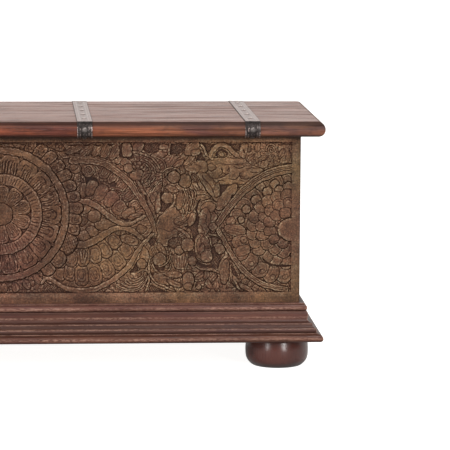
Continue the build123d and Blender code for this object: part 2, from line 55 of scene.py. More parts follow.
def camera_axes():
    yaw, pitch, roll = (math.radians(CAM[k]) for k in ("yaw", "pitch", "roll"))
    fwd = np.array([math.sin(yaw) * math.cos(pitch), math.cos(yaw) * math.cos(pitch), -math.sin(pitch)])
    right = np.array([math.cos(yaw), -math.sin(yaw), 0.0])
    up = np.cross(right, fwd)
    c, s = math.cos(roll), math.sin(roll)
    return c * right + s * up, -s * right + c * up, fwd


def to_pixels(x, z, y=-0.165):
    r, u, f = camera_axes()
    px, py, pz = CAM["pos"]
    dx, dy, dz = x - px, y - py, z - pz
    d = dx * f[0] + dy * f[1] + dz * f[2]
    return (225 + CAM["f"] * (dx * r[0] + dy * r[1] + dz * r[2]) / d,
            225 - CAM["f"] * (dx * u[0] + dy * u[1] + dz * u[2]) / d)


def smooth(a, b, t):
    t = np.clip((t - a) / (b - a), 0.0, 1.0)
    return t * t * (3 - 2 * t)


def value_noise(u, v, seed):
    iu, iv = np.floor(u).astype(np.int64), np.floor(v).astype(np.int64)
    fu, fv = u - iu, v - iv
    fu, fv = fu * fu * (3 - 2 * fu), fv * fv * (3 - 2 * fv)

    def h(a, b):
        n = (a * 374761393 + b * 668265263 + seed * 2147483647) & 0xFFFFFFFF
        n = ((n ^ (n >> 13)) * 1274126177) & 0xFFFFFFFF
        return ((n ^ (n >> 16)) & 0xFFFF) / 65535.0

    return ((h(iu, iv) * (1 - fu) + h(iu + 1, iv) * fu) * (1 - fv)
            + (h(iu, iv + 1) * (1 - fu) + h(iu + 1, iv + 1) * fu) * fv)


def spline(points, n=14):
    """Catmull-Rom through the points."""
    p = np.array(points, float)
    p = np.vstack([2 * p[0] - p[1], p, 2 * p[-1] - p[-2]])
    out = []
    for i in range(1, len(p) - 2):
        t = np.linspace(0, 1, n, endpoint=False)[:, None]
        a, b, c, d = p[i - 1], p[i], p[i + 1], p[i + 2]
        out.append(0.5 * (2 * b + (c - a) * t + (2 * a - 5 * b + 4 * c - d) * t**2
                          + (3 * b - a - 3 * c + d) * t**3))
    out.append(p[-2][None])
    return np.vstack(out)


class Relief:
    FLOOR = -6.0

    def __init__(self, U, V, seed=3):
        self.U, self.V = U, V
        self.ucol = U[U.shape[0] // 2]
        self.vrow = V[:, V.shape[1] // 2]
        self.H = self.filler(seed)
        self.calm = np.zeros(U.shape)

    # leafy filler: lobes of ribbed foliage with cut outlines
    def filler(self, seed):
        U, V = self.U, self.V
        rng = np.random.RandomState(seed)
        cell = 7.6
        wu = U + 5.0 * (value_noise(U / 13, V / 13, 5) - 0.5)
        wv = V + 5.0 * (value_noise(U / 13, V / 13, 6) - 0.5)
        best = np.full(U.shape, 1e9)
        second = np.full(U.shape, 1e9)
        ang = np.zeros(U.shape)
        cx_ = np.zeros(U.shape)
        cy_ = np.zeros(U.shape)
        nu, nv = int(330 / cell) + 2, int(190 / cell) + 2
        for i in range(nu):
            for j in range(nv):
                cu = -5 + (i + 0.5 * (j % 2) + rng.uniform(-0.3, 0.3)) * cell
                cv = 130 + (j + rng.uniform(-0.3, 0.3)) * cell
                a = rng.uniform(0, math.pi)
                st = rng.uniform(1.0, 1.7)
                sl = self.win(cu - 2.6 * cell, cu + 2.6 * cell, cv - 2.6 * cell, cv + 2.6 * cell)
                if sl is None:
                    continue
                du, dv = wu[sl] - cu, wv[sl] - cv
                al = du * math.cos(a) + dv * math.sin(a)
                ac = -du * math.sin(a) + dv * math.cos(a)
                d = np.hypot(al / st, ac * st**0.5)
                b, s = best[sl], second[sl]
                nearer = d < b
                s[:] = np.where(nearer, b, np.minimum(s, d))
                ang[sl] = np.where(nearer, a, ang[sl])
                cx_[sl] = np.where(nearer, al, cx_[sl])
                cy_[sl] = np.where(nearer, ac, cy_[sl])
                b[:] = np.where(nearer, d, b)
        gap = np.clip(second - best, 0, 6)
        ribs = np.abs(np.sin((np.abs(cy_) * 1.0 + cx_ * 0.75) * (math.pi / 2.3)))
        mid = np.exp(-(cy_ / 0.7) ** 2)
        h = -1.5 - 2.0 * np.exp(-(gap / 0.5) ** 2) - 1.0 * (1 - ribs) ** 2 - 0.6 * mid
        h += 0.7 * np.clip(1 - (best / 5.5) ** 2, 0, 1) - 0.5
        return h

    def win(self, u0, u1, v0, v1):
        i0, i1 = np.searchsorted(self.ucol, [u0 - 1.5, u1 + 1.5])
        rows = np.nonzero((self.vrow > v0 - 1.5) & (self.vrow < v1 + 1.5))[0]
        if i1 <= i0 or len(rows) == 0:
            return None
        return (slice(rows[0], rows[-1] + 1), slice(i0, i1))

    def put(self, sl, sd, h, moat=0.9, cut=3.0, soft=0.22, calm=0.25):
        """Lay a piece of height h over what is there and cut a groove round it. calm: how much
        of the tool marks it is spared."""
        H = self.H[sl]
        gv, gu = np.gradient(sd)
        side = (0.5 * gu + 0.86 * gv) / (np.hypot(gu, gv) + 1e-9)
        hand = value_noise(self.U[sl] / 4.0 + 7, self.V[sl] / 4.0 + 5, 63)
        deep = (0.62 + 0.68 * smooth(-0.5, 0.7, side)) * (0.60 + 0.85 * hand)
        m = np.clip(1 - np.abs(sd) / moat, 0, 1)
        H[:] = np.where(sd > 0, np.minimum(H, np.maximum(H - cut * deep * m**1.3, self.FLOOR + 0.4)), H)
        k = smooth(soft, -soft, sd)
        H[:] = H * (1 - k) + h * k
        self.calm[sl] = self.calm[sl] * (1 - k) + calm * k

    # -------------------------------------------------------------- shapes
    @staticmethod
    def crown(sd, top, drop=1.1, edge=1.6):
        t = np.clip(1 + sd / edge, 0, 1)
        return top - drop * t**2.4

    def local(self, sl, c, angle):
        """Distances along and across a direction; angle in degrees, 0 right, 90 up."""
        a = math.radians(angle)
        du, dv = self.U[sl] - c[0], -(self.V[sl] - c[1])
        return du * math.cos(a) + dv * math.sin(a), -du * math.sin(a) + dv * math.cos(a)

    def berry(self, u, v, r, top=-0.25, ring=0.0, squash=1.0, angle=0, cut=4.6, hole=0.0):
        R = r + ring + 2
        sl = self.win(u - R, u + R, v - R, v + R)
        if sl is None:
            return
        a, b = self.local(sl, (u, v), angle)
        d = np.hypot(a, b / squash)
        if ring:
            sd = d - (r + ring)
            self.put(sl, sd, self.crown(sd, top - 0.9, 1.6, 1.6), cut=cut)
        sd = d - r
        h = top - 1.9 * np.clip(d / r, 0, 1) ** 2.8 + 0.25 * (value_noise(a / 2.0 + u, b / 1.3 + v, 77) - 0.5)
        if hole:
            h = h - 2.2 * np.exp(-(d / hole) ** 2)
        self.put(sl, sd, h, cut=cut, moat=1.0, calm=0.92)

    def petal(self, u, v, angle, length, width, n=2.6, taper=0.0, rim=0.0, groove=1.1, top=-0.5,
              rib=0.0, drop=1.0, cut=3.2, dish=0.0, veins=0.0, vstep=2.2, moat=0.85, tilt=0.0, ribs=0.0, rstep=2.0, fibre=0.85, grow=1.09):
        """A rounded petal or leaf. taper > 0 narrows it towards its far end, rim cuts a second
        outline inside the first, rib and veins cut the middle and the side ribs."""
        L, W = length / 2 * (1 + (grow - 1) * 0.7), width / 2 * grow
        R = max(L, W) + 2
        sl = self.win(u - R, u + R, v - R, v + R)
        if sl is None:
            return
        a, b = self.local(sl, (u, v), angle)
        w = W * np.clip(1 - taper * np.clip(a / L, -1, 1), 0.12, 2.0)
        q = (np.abs(a / L) ** n + np.abs(b / w) ** n) ** (1 / n)
        sd = (q - 1) * min(L, W) * np.where(q > 1, 1.0, 1.0)
        # chisel strokes along the piece, a little fanned
        fan = b / np.clip(0.7 + 0.3 * a / L, 0.4, 1.2)
        st = value_noise(a / 3.4 + u * 0.7, fan / 0.95 + v * 0.7, 55) - 0.5
        fibre = fibre * float(np.interp(2 * min(L, W), [5.0, 10.0], [1.0, 0.55]))
        dome = np.clip(0.62 * min(L, W), 1.6, 4.2)
        lean = value_noise(np.array(u * 0.37), np.array(v * 0.41), 67) * 2 * math.pi
        tip = 0.55 * (math.cos(lean) * a / L + math.sin(lean) * b / W)
        h = self.crown(sd, top, drop * 1.25, dome) + fibre * st - 0.25 * fibre - tilt * np.clip(0.5 - a / (2 * L), 0, 1) + tip - 0.3
        if ribs:
            h = h - ribs * (1 - np.abs(np.sin((b / np.maximum(w / W, 0.3)) * math.pi / rstep + math.pi / 2))) ** 1.5 * smooth(-0.4, -1.4, sd)
        if rim:
            h = h - groove * np.exp(-((sd + rim) / 0.42) ** 2)
            if dish:
                h = h - dish * smooth(-rim, -rim - 1.5, sd)
        if rib:
            h = h - rib * np.exp(-(b / 0.5) ** 2) * smooth(1.05, 0.7, np.abs(a) / L)
        if veins:
            s = np.abs(np.sin((np.abs(b) * 1.1 - a * 0.9) * math.pi / vstep))
            h = h - veins * (1 - s) ** 2
        self.put(sl, sd, h, cut=cut, moat=moat, calm=float(np.interp(2 * min(L, W), [4.0, 7.0, 10.0], [0.15, 0.5, 0.85])))

    def path(self, points, width, top=-0.4, lines=(), drop=1.2, ends=(1.0, 1.0), cut=3.2, ticks=0.0,
             tstep=2.6, tslant=0.7, groove=1.0, moat=0.85, flat=1.6, lgw=0.4):
        """A band along a spline. lines: side offsets, as a share of the half width, of grooves
        that run along it. ends: the width at its two ends as a share of the middle's."""
        p = spline(points)
        seg = p[1:] - p[:-1]
        ln = np.hypot(seg[:, 0], seg[:, 1])
        s0 = np.concatenate([[0], np.cumsum(ln)])
        total = s0[-1]
        R = width / 2 + 2
        sl = self.win(p[:, 0].min() - R, p[:, 0].max() + R, p[:, 1].min() - R, p[:, 1].max() + R)
        if sl is None:
            return
        U, V = self.U[sl], self.V[sl]
        best = np.full(U.shape, 1e9)
        side = np.zeros(U.shape)
        along = np.zeros(U.shape)
        for k in range(len(seg)):
            if ln[k] < 1e-6:
                continue
            x0, y0 = p[k]
            near = (np.abs(U - x0 - seg[k, 0] / 2) < R + ln[k]) & (np.abs(V - y0 - seg[k, 1] / 2) < R + ln[k])
            if not near.any():
                continue
            un, vn = U[near] - x0, V[near] - y0
            t = np.clip((un * seg[k, 0] + vn * seg[k, 1]) / ln[k] ** 2, 0, 1)
            ex, ey = un - t * seg[k, 0], vn - t * seg[k, 1]
            d = np.hypot(ex, ey)
            sg = np.sign(seg[k, 0] * ey - seg[k, 1] * ex)
            b = best[near]
            m = d < b
            idx = np.nonzero(near)
            best[idx[0][m], idx[1][m]] = d[m]
            side[idx[0][m], idx[1][m]] = sg[m]
            along[idx[0][m], idx[1][m]] = s0[k] + t[m] * ln[k]
        tt = along / total
        w = width / 2 * np.interp(tt, [0, 0.25, 0.75, 1], [ends[0], 0.5 + ends[0] / 2 if ends[0] < 1 else 1,
                                                         0.5 + ends[1] / 2 if ends[1] < 1 else 1, ends[1]])
        sd = best - w
        x = side * best / np.maximum(w, 0.3)
        h = self.crown(sd, top, drop, flat) + 0.45 * (value_noise(along / 5.0 + 9, side * best / 0.8 + 60, 57) - 0.5)
        for off in lines:
            h = h - groove * np.exp(-((x - off) * w / lgw) ** 2)
        if ticks:
            h = h - ticks * (1 - np.abs(np.sin((along + tslant * side * best) * math.pi / tstep))) ** 2
        self.put(sl, sd, h, cut=cut, moat=moat, calm=0.6)

    def patch(self, points):
        """(window, signed distance) of a polygon."""
        P = np.array(points, float)
        sl = self.win(P[:, 0].min(), P[:, 0].max(), P[:, 1].min(), P[:, 1].max())
        if sl is None:
            return None, None
        U, V = self.U[sl], self.V[sl]
        inside = np.zeros(U.shape, bool)
        dist = np.full(U.shape, 1e9)
        j = len(P) - 1
        for i in range(len(P)):
            xi, yi, xj, yj = P[i, 0], P[i, 1], P[j, 0], P[j, 1]
            hit = ((yi > V) != (yj > V)) & (U < (xj - xi) * (V - yi) / (yj - yi + 1e-9) + xi)
            inside ^= hit
            e = np.array([xj - xi, yj - yi])
            t = np.clip(((U - xi) * e[0] + (V - yi) * e[1]) / (e @ e + 1e-9), 0, 1)
            dist = np.minimum(dist, np.hypot(U - xi - t * e[0], V - yi - t * e[1]))
            j = i
        return sl, np.where(inside, -dist, dist)

    def ground(self, points, level=-5.4, stipple=0.7, soft=0.8):
        """A sunk patch with punched dots. points is a polygon."""
        sl, sd = self.patch(points)
        if sl is None:
            return
        U, V = self.U[sl], self.V[sl]
        dots = (np.sin(U * 2.9 + 1.3 * np.sin(V * 1.1)) * np.sin(V * 2.9 + 1.1 * np.sin(U * 0.9)))
        k = smooth(soft, -soft, sd)
        self.H[sl] = self.H[sl] * (1 - k) + (level + stipple * dots) * k

    def leaf_mass(self, points, angle, pitch=2.2, level=-0.9, amp=1.3, bend=0.0, size=5.0, seed=1, cut=3.0):
        """A patch of ribs that run at an angle and are broken up by hand-cut dashes."""
        sl, sd = self.patch(points)
        if sl is None:
            return
        c = np.array(points, float).mean(0)
        a, b = self.local(sl, tuple(c), angle)
        b = b + bend * a * a / 20.0
        U, V = self.U[sl], self.V[sl]
        wob = 1.6 * (value_noise(U / size, V / size, seed) - 0.5)
        ridge = np.abs(np.sin((b + wob) * math.pi / pitch))
        dash = smooth(0.35, 0.6, value_noise(a / 4.2 + 50, b / pitch + 50, seed + 1))
        h = level - amp * (1 - ridge) ** 1.6 * (0.45 + 0.55 * dash) - 0.8 * (value_noise(U / 3.1, V / 3.1, seed + 2) - 0.5)
        h = h - 1.0 * smooth(-1.2, 0, sd)
        self.put(sl, sd, h, cut=cut)

    def curls(self, points, level=-1.0, amp=1.9, size=2.6, seed=1, cut=3.0, pits=0.0):
        """A patch of small irregular curls cut with the corner of a gouge."""
        sl, sd = self.patch(points)
        if sl is None:
            return
        U, V = self.U[sl], self.V[sl]
        n1 = np.abs(value_noise(U / size + 3, V / size + 9, seed) - 0.5) * 2
        n2 = np.abs(value_noise(U / (size * 0.55) + 31, V / (size * 0.6) + 17, seed + 5) - 0.5) * 2
        h = level - amp * np.exp(-(n1 / 0.17) ** 2) - 0.55 * amp * np.exp(-(n2 / 0.16) ** 2)
        if pits:
            h = h - pits * smooth(0.62, 0.8, value_noise(U / 1.9, V / 1.9, seed + 9))
        h = h - 0.9 * smooth(-1.2, 0, sd)
        self.put(sl, sd, h, cut=cut)

    def spiral(self, u, v, r0, turns, width, start=0.0, hand=1, top=-0.3, shrink=0.12):
        pts = []
        n = int(14 * turns) + 2
        for i in range(n):
            t = i / (n - 1)
            r = r0 * (1 - t) + r0 * shrink * t
            a = math.radians(start) + hand * t * turns * 2 * math.pi
            pts.append((u + r * math.cos(a), v - r * math.sin(a)))
        self.path(pts, width, top=top, ends=(0.8, 0.8), drop=1.7)

    def clip_field(self):
        pass


def medallion(R, c=(1.42, 214.57)):
    U, V = R.U, R.V
    du, dv = U - c[0], -(V - c[1])
    r = np.hypot(du, dv)
    th = np.degrees(np.arctan2(dv, du))
    sl = R.win(-5, c[0] + 84, 130, 300)

    def lay(sd, h, **k):
        if isinstance(k.get("cut"), np.ndarray):
            k["cut"] = k["cut"][sl]
        R.put(sl, sd[sl], h[sl], **k)

    # the rougher stretch at the top right of the rim, with its own edge
    arc = smooth(35.5, 37.5, th) * smooth(78, 72, th)
    rough = np.abs(r - 74.0) - 6.6
    n1 = np.abs(value_noise(U / 2.7 + 3, V / 2.7 + 9, 41) - 0.5) * 2
    n2 = np.abs(value_noise(U / 1.5 + 13, V / 1.5 + 19, 43) - 0.5) * 2
    hh = -2.4 - 1.9 * np.exp(-(n1 / 0.2) ** 2) - 1.0 * np.exp(-(n2 / 0.18) ** 2)
    lay(np.where(arc > 0.5, rough, 9.0), hh, cut=2.0)
    # outer lobes: (angle, half width in degrees, bulge)
    for a0, hw, out, style in ((66.4, 4.0, 81.4, 5), (58.2, 4.3, 81.8, 5), (49.4, 4.6, 81.6, 5), (40.4, 4.5, 81.0, 5), (31.4, 4.5, 80.6, 0), (22.3, 4.5, 80.2, 1), (13.5, 4.45, 80.6, 2), (4.6, 4.5, 81.4, 2), (-4.0, 4.1, 80.4, 2),
                               (-11.9, 4.1, 80.0, 1), (-24.2, 7.9, 81.0, 3), (-38.4, 6.2, 80.0, 4), (-49.6, 5.0, 78.2, 4)):
        ph = th - a0
        b = np.radians(ph) * r
        hwp = math.radians(hw) * 74.0
        rc = (67.4 + out) / 2
        a = (r - rc) / ((out - 67.4) / 2)
        q = np.where(a > 0, (np.abs(a) ** 2.6 + np.abs(b / hwp) ** 2.6) ** (1 / 2.6), np.maximum(np.abs(b / hwp), np.abs(a)))
        sd = (q - 1) * 5.6
        h = R.crown(sd, -0.7, 1.4, 1.8) - 0.9 * np.clip(0.5 - a / 2, 0, 1)
        dd = np.hypot((r - rc - 0.4), b)
        if style in (1, 2):
            h = h - 1.3 * np.exp(-((dd - 3.2) / 0.5) ** 2) * (b < 2.0)
        if style == 2:
            h = h - 0.8 * np.exp(-((np.hypot(r - rc - 0.6, b - 0.4) - 1.3) / 0.4) ** 2)
        if style == 0:
            h = h - 1.1 * np.exp(-((np.abs(b + 1.0) - 1.2) / 0.4) ** 2) * (r > rc - 2)
        if style == 3:
            h = h - 1.0 * (1 - np.abs(np.sin((b + r) * math.pi / 3.2))) ** 2 - 0.7 * (1 - np.abs(np.sin((b - r) * math.pi / 4.1))) ** 2
        if style == 4:
            h = h - 0.6 * np.exp(-((sd + 2.4) / 0.45) ** 2)
        if style == 5:
            h = h - 0.9 - 1.5 * np.exp(-(n1 / 0.2) ** 2) - 0.9 * np.exp(-(n2 / 0.2) ** 2) + 0.9 * smooth(-2.6, -0.6, sd)
        lay(sd, h, cut=5.0, moat=1.2)
    # plain band
    sd = np.abs(r - 63.9) - 3.6
    h = R.crown(sd, -0.12, 1.3, 1.7) - 0.8 * np.exp(-((r - 62.0) / 0.36) ** 2) \
        - 1.0 * smooth(62.2, 61.2, r) * np.abs(value_noise(r / 1.2, np.radians(th) * 40 + 200, 78) - 0.5) * 2
    lay(sd, h, cut=np.where(r > 63.9, 4.4, 1.5), moat=1.15, calm=0.8)
    # floor between the rings
    sd = np.abs(r - 50.2) - 9.9
    lay(sd, np.full(r.shape, -4.4), cut=2.0)
    # eighteen petals with a rolled edge and a ribbed bed
    step = 20.0
    k = np.round(th / step)
    ph = th - k * step
    b = np.radians(ph) * r
    a = r - 49.9
    rnd0 = value_noise(k * 4.7 + 21, k * 0 + 9, 17)
    w = 8.75 + 0.175 * a
    q = np.where(a > 0, (np.abs(a / 9.9) ** 3.8 + np.abs(b / w) ** 3.8) ** (1 / 3.8), np.maximum(np.abs(b / w), np.abs(a / 9.4)))
    sd = (q - 1) * 8.4
    # 0 tongue with a double outline, 1 deep strokes, 2 fibres, 3 ridged eye
    style_of = {5: 1, 4: 1, 3: 0, 2: 0, 1: 2, 0: 3, -1: 0, -2: 0, -3: 0, -4: 2, -5: 1}
    style = np.zeros(r.shape)
    for kk, v in style_of.items():
        style = np.where(k == kk, v, style)
    rand = value_noise(k * 3.3 + 40, k * 0 + 7, 12)
    fib = value_noise(r / 3.6, np.radians(th) * 46 + 300, 71) - 0.5
    far = smooth(-4.5, 4.0, a)
    fib = fib + 0.8 * (value_noise(r / 5.5, np.radians(th) * 30 + 100, 72) - 0.5)
    rnd = value_noise(k * 5.1 + 60, k * 0 + 3, 14)
    near = 1 - far
    # chisel strokes fanning out from the ticked ring, deepest there
    fan = b / (0.62 + 0.022 * (r - 40.0))
    st = (1 - np.abs(np.sin((fan + 1.3 * rnd) * math.pi / 3.1))) ** 1.5 * smooth(0.25, 0.6, value_noise(fan / 2.6 + 20, k + 30, 76))
    base = -0.8 - 0.9 * (0.4 + 0.6 * near) * np.clip(1 + sd / 1.6, 0, 1) ** 2.0 + 1.2 * fib - 2.9 * near * st - 1.7 * smooth(-2.0, -8.5, a)
    roll = 0.05 - 0.9 * np.clip(np.abs(sd + 1.9) / 1.9, 0, 1) ** 2.4 + 0.5 * fib
    rim_on = smooth(-2.6, 0.4, a) * smooth(-3.8, -3.1, sd)
    cutin = np.exp(-((sd + 3.6) / 0.42) ** 2) * smooth(-4.0, -0.5, a)
    inner = np.hypot(np.maximum(a + 2.5, 0) / 1.2, b) - 3.0
    side_on = 0.35 + 0.65 * smooth(-1.5, 1.5, b * (1 - 2 * (rnd0 > 0.5)))
    bed = base - 0.45 + 0.55 * smooth(0.3, -1.8, inner) - 0.85 * np.exp(-(inner / 0.5) ** 2) * smooth(-6, -1, a) * side_on
    tongue = bed * (1 - rim_on) + (roll + 0.25) * rim_on - 1.25 * cutin * side_on
    strokes = (1 - np.abs(np.sin(b * math.pi / (2.6 + 0.5 * rand) + math.pi / 2))) ** 1.2
    deep = base * (1 - rim_on) + roll * rim_on - 3.2 * strokes * smooth(4.2, 2.4, a - 1.2 * rand) * smooth(-0.4, -1.4, sd)
    fibres = base - 1.6 * np.abs(2 * fib) ** 0.8 * smooth(-0.8, -1.8, sd) + 0.7 * rim_on - 0.5 * cutin
    arcs = np.hypot(np.maximum(a + 3.0, 0) / 1.45, b + 0.5)
    eye = base * (1 - rim_on) + (roll + 0.3) * rim_on + 0.35 - 1.5 * (np.exp(-((arcs - 2.2) / 0.5) ** 2) + np.exp(-((arcs - 4.2) / 0.45) ** 2) * smooth(-1, 2, b)
                                                           + 0.9 * np.exp(-((arcs - 5.9) / 0.45) ** 2)) * smooth(-5.5, -3.0, a)
    h = np.select([style == 0, style == 1, style == 2], [tongue, deep, fibres], eye)
    lay(sd, h, cut=0.8 + 3.0 * near, moat=0.8)
    # little leaves where two petals meet at the band
    ph2 = ((th) % step) - step / 2
    b2 = np.radians(ph2) * r
    q2 = np.abs(b2) / 2.3 + np.abs(r - 59.0) / 2.8
    lay((q2 - 1) * 2.0, np.full(r.shape, -1.7) - 0.7 * np.exp(-(b2 / 0.4) ** 2), cut=1.8, moat=0.6)
    # ticked ring
    sd = r - 40.6
    h = R.crown(sd, -0.25, 1.6, 1.4)
    tick = (1 - np.abs(np.sin(np.radians(th) * 34 + 1.4 * np.sin(np.radians(th) * 5)))) ** 1.5 * (0.35 + 1.1 * value_noise(r * 0 + 3, np.radians(th) * 20 + 300, 75))
    h = h - 1.5 * tick * smooth(29.8, 31.0, r) * smooth(39.4, 37.4, r)
    h = h - 0.5 * np.exp(-((r - 38.6) / 0.35) ** 2)
    lay(sd, h, cut=4.0, moat=1.1)
    # inner petals with an inner arch
    step = 36.0
    k = np.floor(th / step + 0.5 - 0.5)
    ph = (th % step) - step / 2
    b = np.radians(ph) * r
    a = r - 20.6
    w = 6.4 + 0.32 * (r - 20.6)
    q = np.where(a > 0, (np.abs(a / 9.2) ** 2.6 + np.abs(b / w) ** 2.6) ** (1 / 2.6), np.abs(b / w))
    sd = (q - 1) * 6.6
    h = R.crown(sd, -0.4, 1.4, 1.6) - 1.2 * np.exp(-((sd + 2.0) / 0.42) ** 2) - 0.7 * smooth(-2.3, -3.2, sd)
    ribs = (1 - np.abs(np.sin(b * math.pi / 1.9 + math.pi / 2))) ** 1.5
    h = h - 0.7 * ribs * smooth(-2.4, -3.0, sd)
    lay(r - 29.9, np.full(r.shape, -3.4), cut=1.6, moat=0.6)
    fib2 = value_noise(r / 3.0, np.radians(th) * 26 + 300, 73) - 0.5
    bead = (0.5 + 0.5 * np.sin(np.radians(th) * 44)) * np.exp(-((r - 28.2) / 0.7) ** 2) * smooth(-30, 0, th)
    lay(np.where(r < 29.9, sd, 9.0), h + 1.3 * fib2 - 0.35 + 0.7 * bead, cut=2.4, moat=0.7)
    # boss
    sd = r - 10.9
    h = -0.12 - 1.7 * np.clip(r / 10.9, 0, 1) ** 3.6
    lay(sd, h, cut=4.4, moat=1.3, calm=0.95)


def mandorla(R):
    """The pointed leaf-shaped field right of the medallion."""
    # upper part
    R.curls([(80, 163), (92, 163.6), (104, 166), (114, 172), (124, 181), (133, 190), (139, 199), (146, 212), (139, 219), (126, 214), (112, 205),
             (98, 194), (82, 190)], level=-2.0, amp=1.6, size=3.0, seed=51)
    R.ground([(84.5, 177.5), (90, 176.0), (96.4, 177.8), (98.6, 181.4), (93, 184.4), (86.5, 183.4)], -5.6, 0.3)
    for (u, v, ang, L, W) in [(104.6, 172.6, 60, 12.5, 9.6), (113.4, 178.8, 52, 12, 9.4), (121.6, 186.6, 44, 12, 9.6), (128.4, 196.0, 36, 12, 9.6),
                              (134.4, 205.4, 26, 12, 9.4), (140.0, 213.6, 12, 10, 7.6)]:
        R.petal(u, v, ang, L, W, n=2.2, taper=-0.05, rim=1.9, groove=1.0, top=-0.9, tilt=0.6, ribs=0.7, rstep=1.9)
    R.ground([(109.6, 183.4), (114.6, 181.6), (117.4, 184.6), (114.4, 187.8), (110.6, 187.4)], -5.0, 0.4)
    R.path([(111.4, 190.6), (116.4, 189.2), (121.4, 190.4)], 1.3, top=-0.6, drop=0.6, cut=2.4)
    for (u, v, ang, L, W) in [(83.6, 190.6, 84, 14, 7.0), (91.6, 188.6, 66, 16.5, 9.8), (101.2, 192.8, 58, 16.5, 10.8), (110.8, 199.6, 50, 15.6, 11.4),
                              (119.0, 208.2, 40, 14.4, 11.6), (128.6, 213.6, 22, 13, 8.6)]:
        R.petal(u, v, ang, L, W, n=2.5, taper=-0.16, top=-0.3, tilt=0.8, ribs=0.35, rstep=2.6)
    R.petal(119.6, 207.4, 40, 8.2, 7.2, n=2.2, top=-0.35, cut=1.5, rim=1.6, groove=0.9)
    R.berry(75.4, 168.6, 5.6, top=-0.7, squash=0.8)
    R.petal(74.6, 168.2, 35, 6.4, 3.0, n=2, top=-0.4, cut=1.6)
    R.berry(88.3, 170.6, 6.6, top=-0.5, cut=3.8)
    R.path([(84.6, 174.2), (83.4, 169.6), (86.6, 166.4), (91.0, 166.8), (92.8, 170.4), (90.4, 173.4), (87.6, 172.0), (88.4, 169.8)], 2.0, top=-0.05,
           drop=0.9, cut=2.0, moat=0.7, ends=(0.6, 0.8))
    # between B and C
    R.leaf_mass([(80, 206), (90, 206), (99, 214), (112, 222), (118, 226), (104, 232), (92, 238), (80, 240)], -10, 3.0, level=-1.3, amp=0.9, seed=61)
    R.petal(86.8, 208.4, 60, 11.6, 8.4, n=1.9, taper=-0.2, top=-0.4)
    R.petal(106.0, 225.0, -3, 20.5, 10.4, n=1.75, taper=0.42, top=-0.25)
    R.petal(93.2, 232.0, -28, 14.0, 9.0, n=1.8, taper=0.25, top=-0.35)
    R.petal(84.6, 236.6, -30, 12.4, 9.6, n=1.7, taper=0.3, top=-0.35)
    R.petal(83.4, 221.4, 4, 9.6, 9.0, n=1.8, taper=0.35, top=-1.0)
    R.berry(94.4, 216.8, 6.6, top=-0.1, squash=0.92)
    # right end of the leaf, past the crossing
    R.leaf_mass([(128, 219), (140, 221), (150, 216), (154, 226), (150, 236), (144, 240), (138, 233), (131, 228)], 18, 2.6, level=-1.0, amp=1.2, seed=66)
    R.path([(121, 218.6), (126.6, 220.0), (132.6, 218.6)], 1.6, top=-5.0, drop=0.2, cut=1.2)
    R.petal(134.4, 216.6, 14, 12.5, 4.6, n=2, taper=0.2, rib=0.7, top=-0.7)
    R.petal(141.6, 229.4, 24, 11, 8.4, n=1.7, taper=0.35, top=-0.6)
    # between C and D: outer row then inner row, each laid over the one before
    R.leaf_mass([(46, 281), (60, 266), (80, 262), (104, 256), (130, 240), (140, 246), (126, 268), (104, 284), (80, 289), (58, 288)], 60, 2.4,
                level=-2.0, amp=1.0, seed=71)
    for (u, v, ang, L, W, rm) in [(53.0, 278.0, -150, 13, 8.4, 1.8), (61.2, 272.8, -120, 15.5, 12.4, 2.2), (70.4, 272.4, -100, 16.5, 12.0, 2.2),
                                  (126.6, 250.6, -52, 17, 13.4, 2.2), (117.2, 260.6, -50, 18.6, 13.0, 2.4), (106.0, 268.4, -56, 20.0, 13.4, 2.5),
                                  (94.6, 274.4, -74, 20.6, 13.2, 2.6), (81.6, 275.6, -90, 19.0, 12.2, 2.4)]:
        R.petal(u, v, ang, L, W, n=2.9, rim=rm, top=-0.45, dish=0.35, tilt=0.8, groove=1.15)
    for (u, v, ang) in [(94.4, 274.6, -74), (105.8, 268.2, -56), (117.0, 260.4, -50), (70.4, 271.6, -100), (81.6, 275.0, -90)]:
        R.petal(u, v, ang, 7.6, 4.6, n=2.0, top=-0.7, cut=0.9, moat=0.6, drop=0.7)
    for (u, v, ang, L, W) in [(61.6, 262.0, -128, 12, 9.5), (71.6, 258.8, -104, 15.0, 11.4), (113.8, 241.2, -48, 15.6, 12.4), (104.4, 249.4, -58, 17.4, 12.2),
                              (95.0, 254.4, -76, 17.4, 11.4), (83.6, 256.6, -90, 17.8, 11.2)]:
        R.petal(u, v, ang, L, W, n=2.7, rim=2.1, top=-0.25, tilt=0.7, groove=1.0)
    for off, wd in ((-2.7, 1.5), (0.0, 1.7), (2.7, 1.5)):
        R.path([(83.6 + off, 250), (83.6 + off * 0.95, 256), (83.6 + off * 0.5, 262.6)], wd, top=-0.25, drop=0.7, cut=2.6, moat=0.55)
    R.petal(129.4, 240.0, -16, 17.5, 8.4, n=2.3, rim=1.9, top=-0.25, taper=-0.05, tilt=0.4)
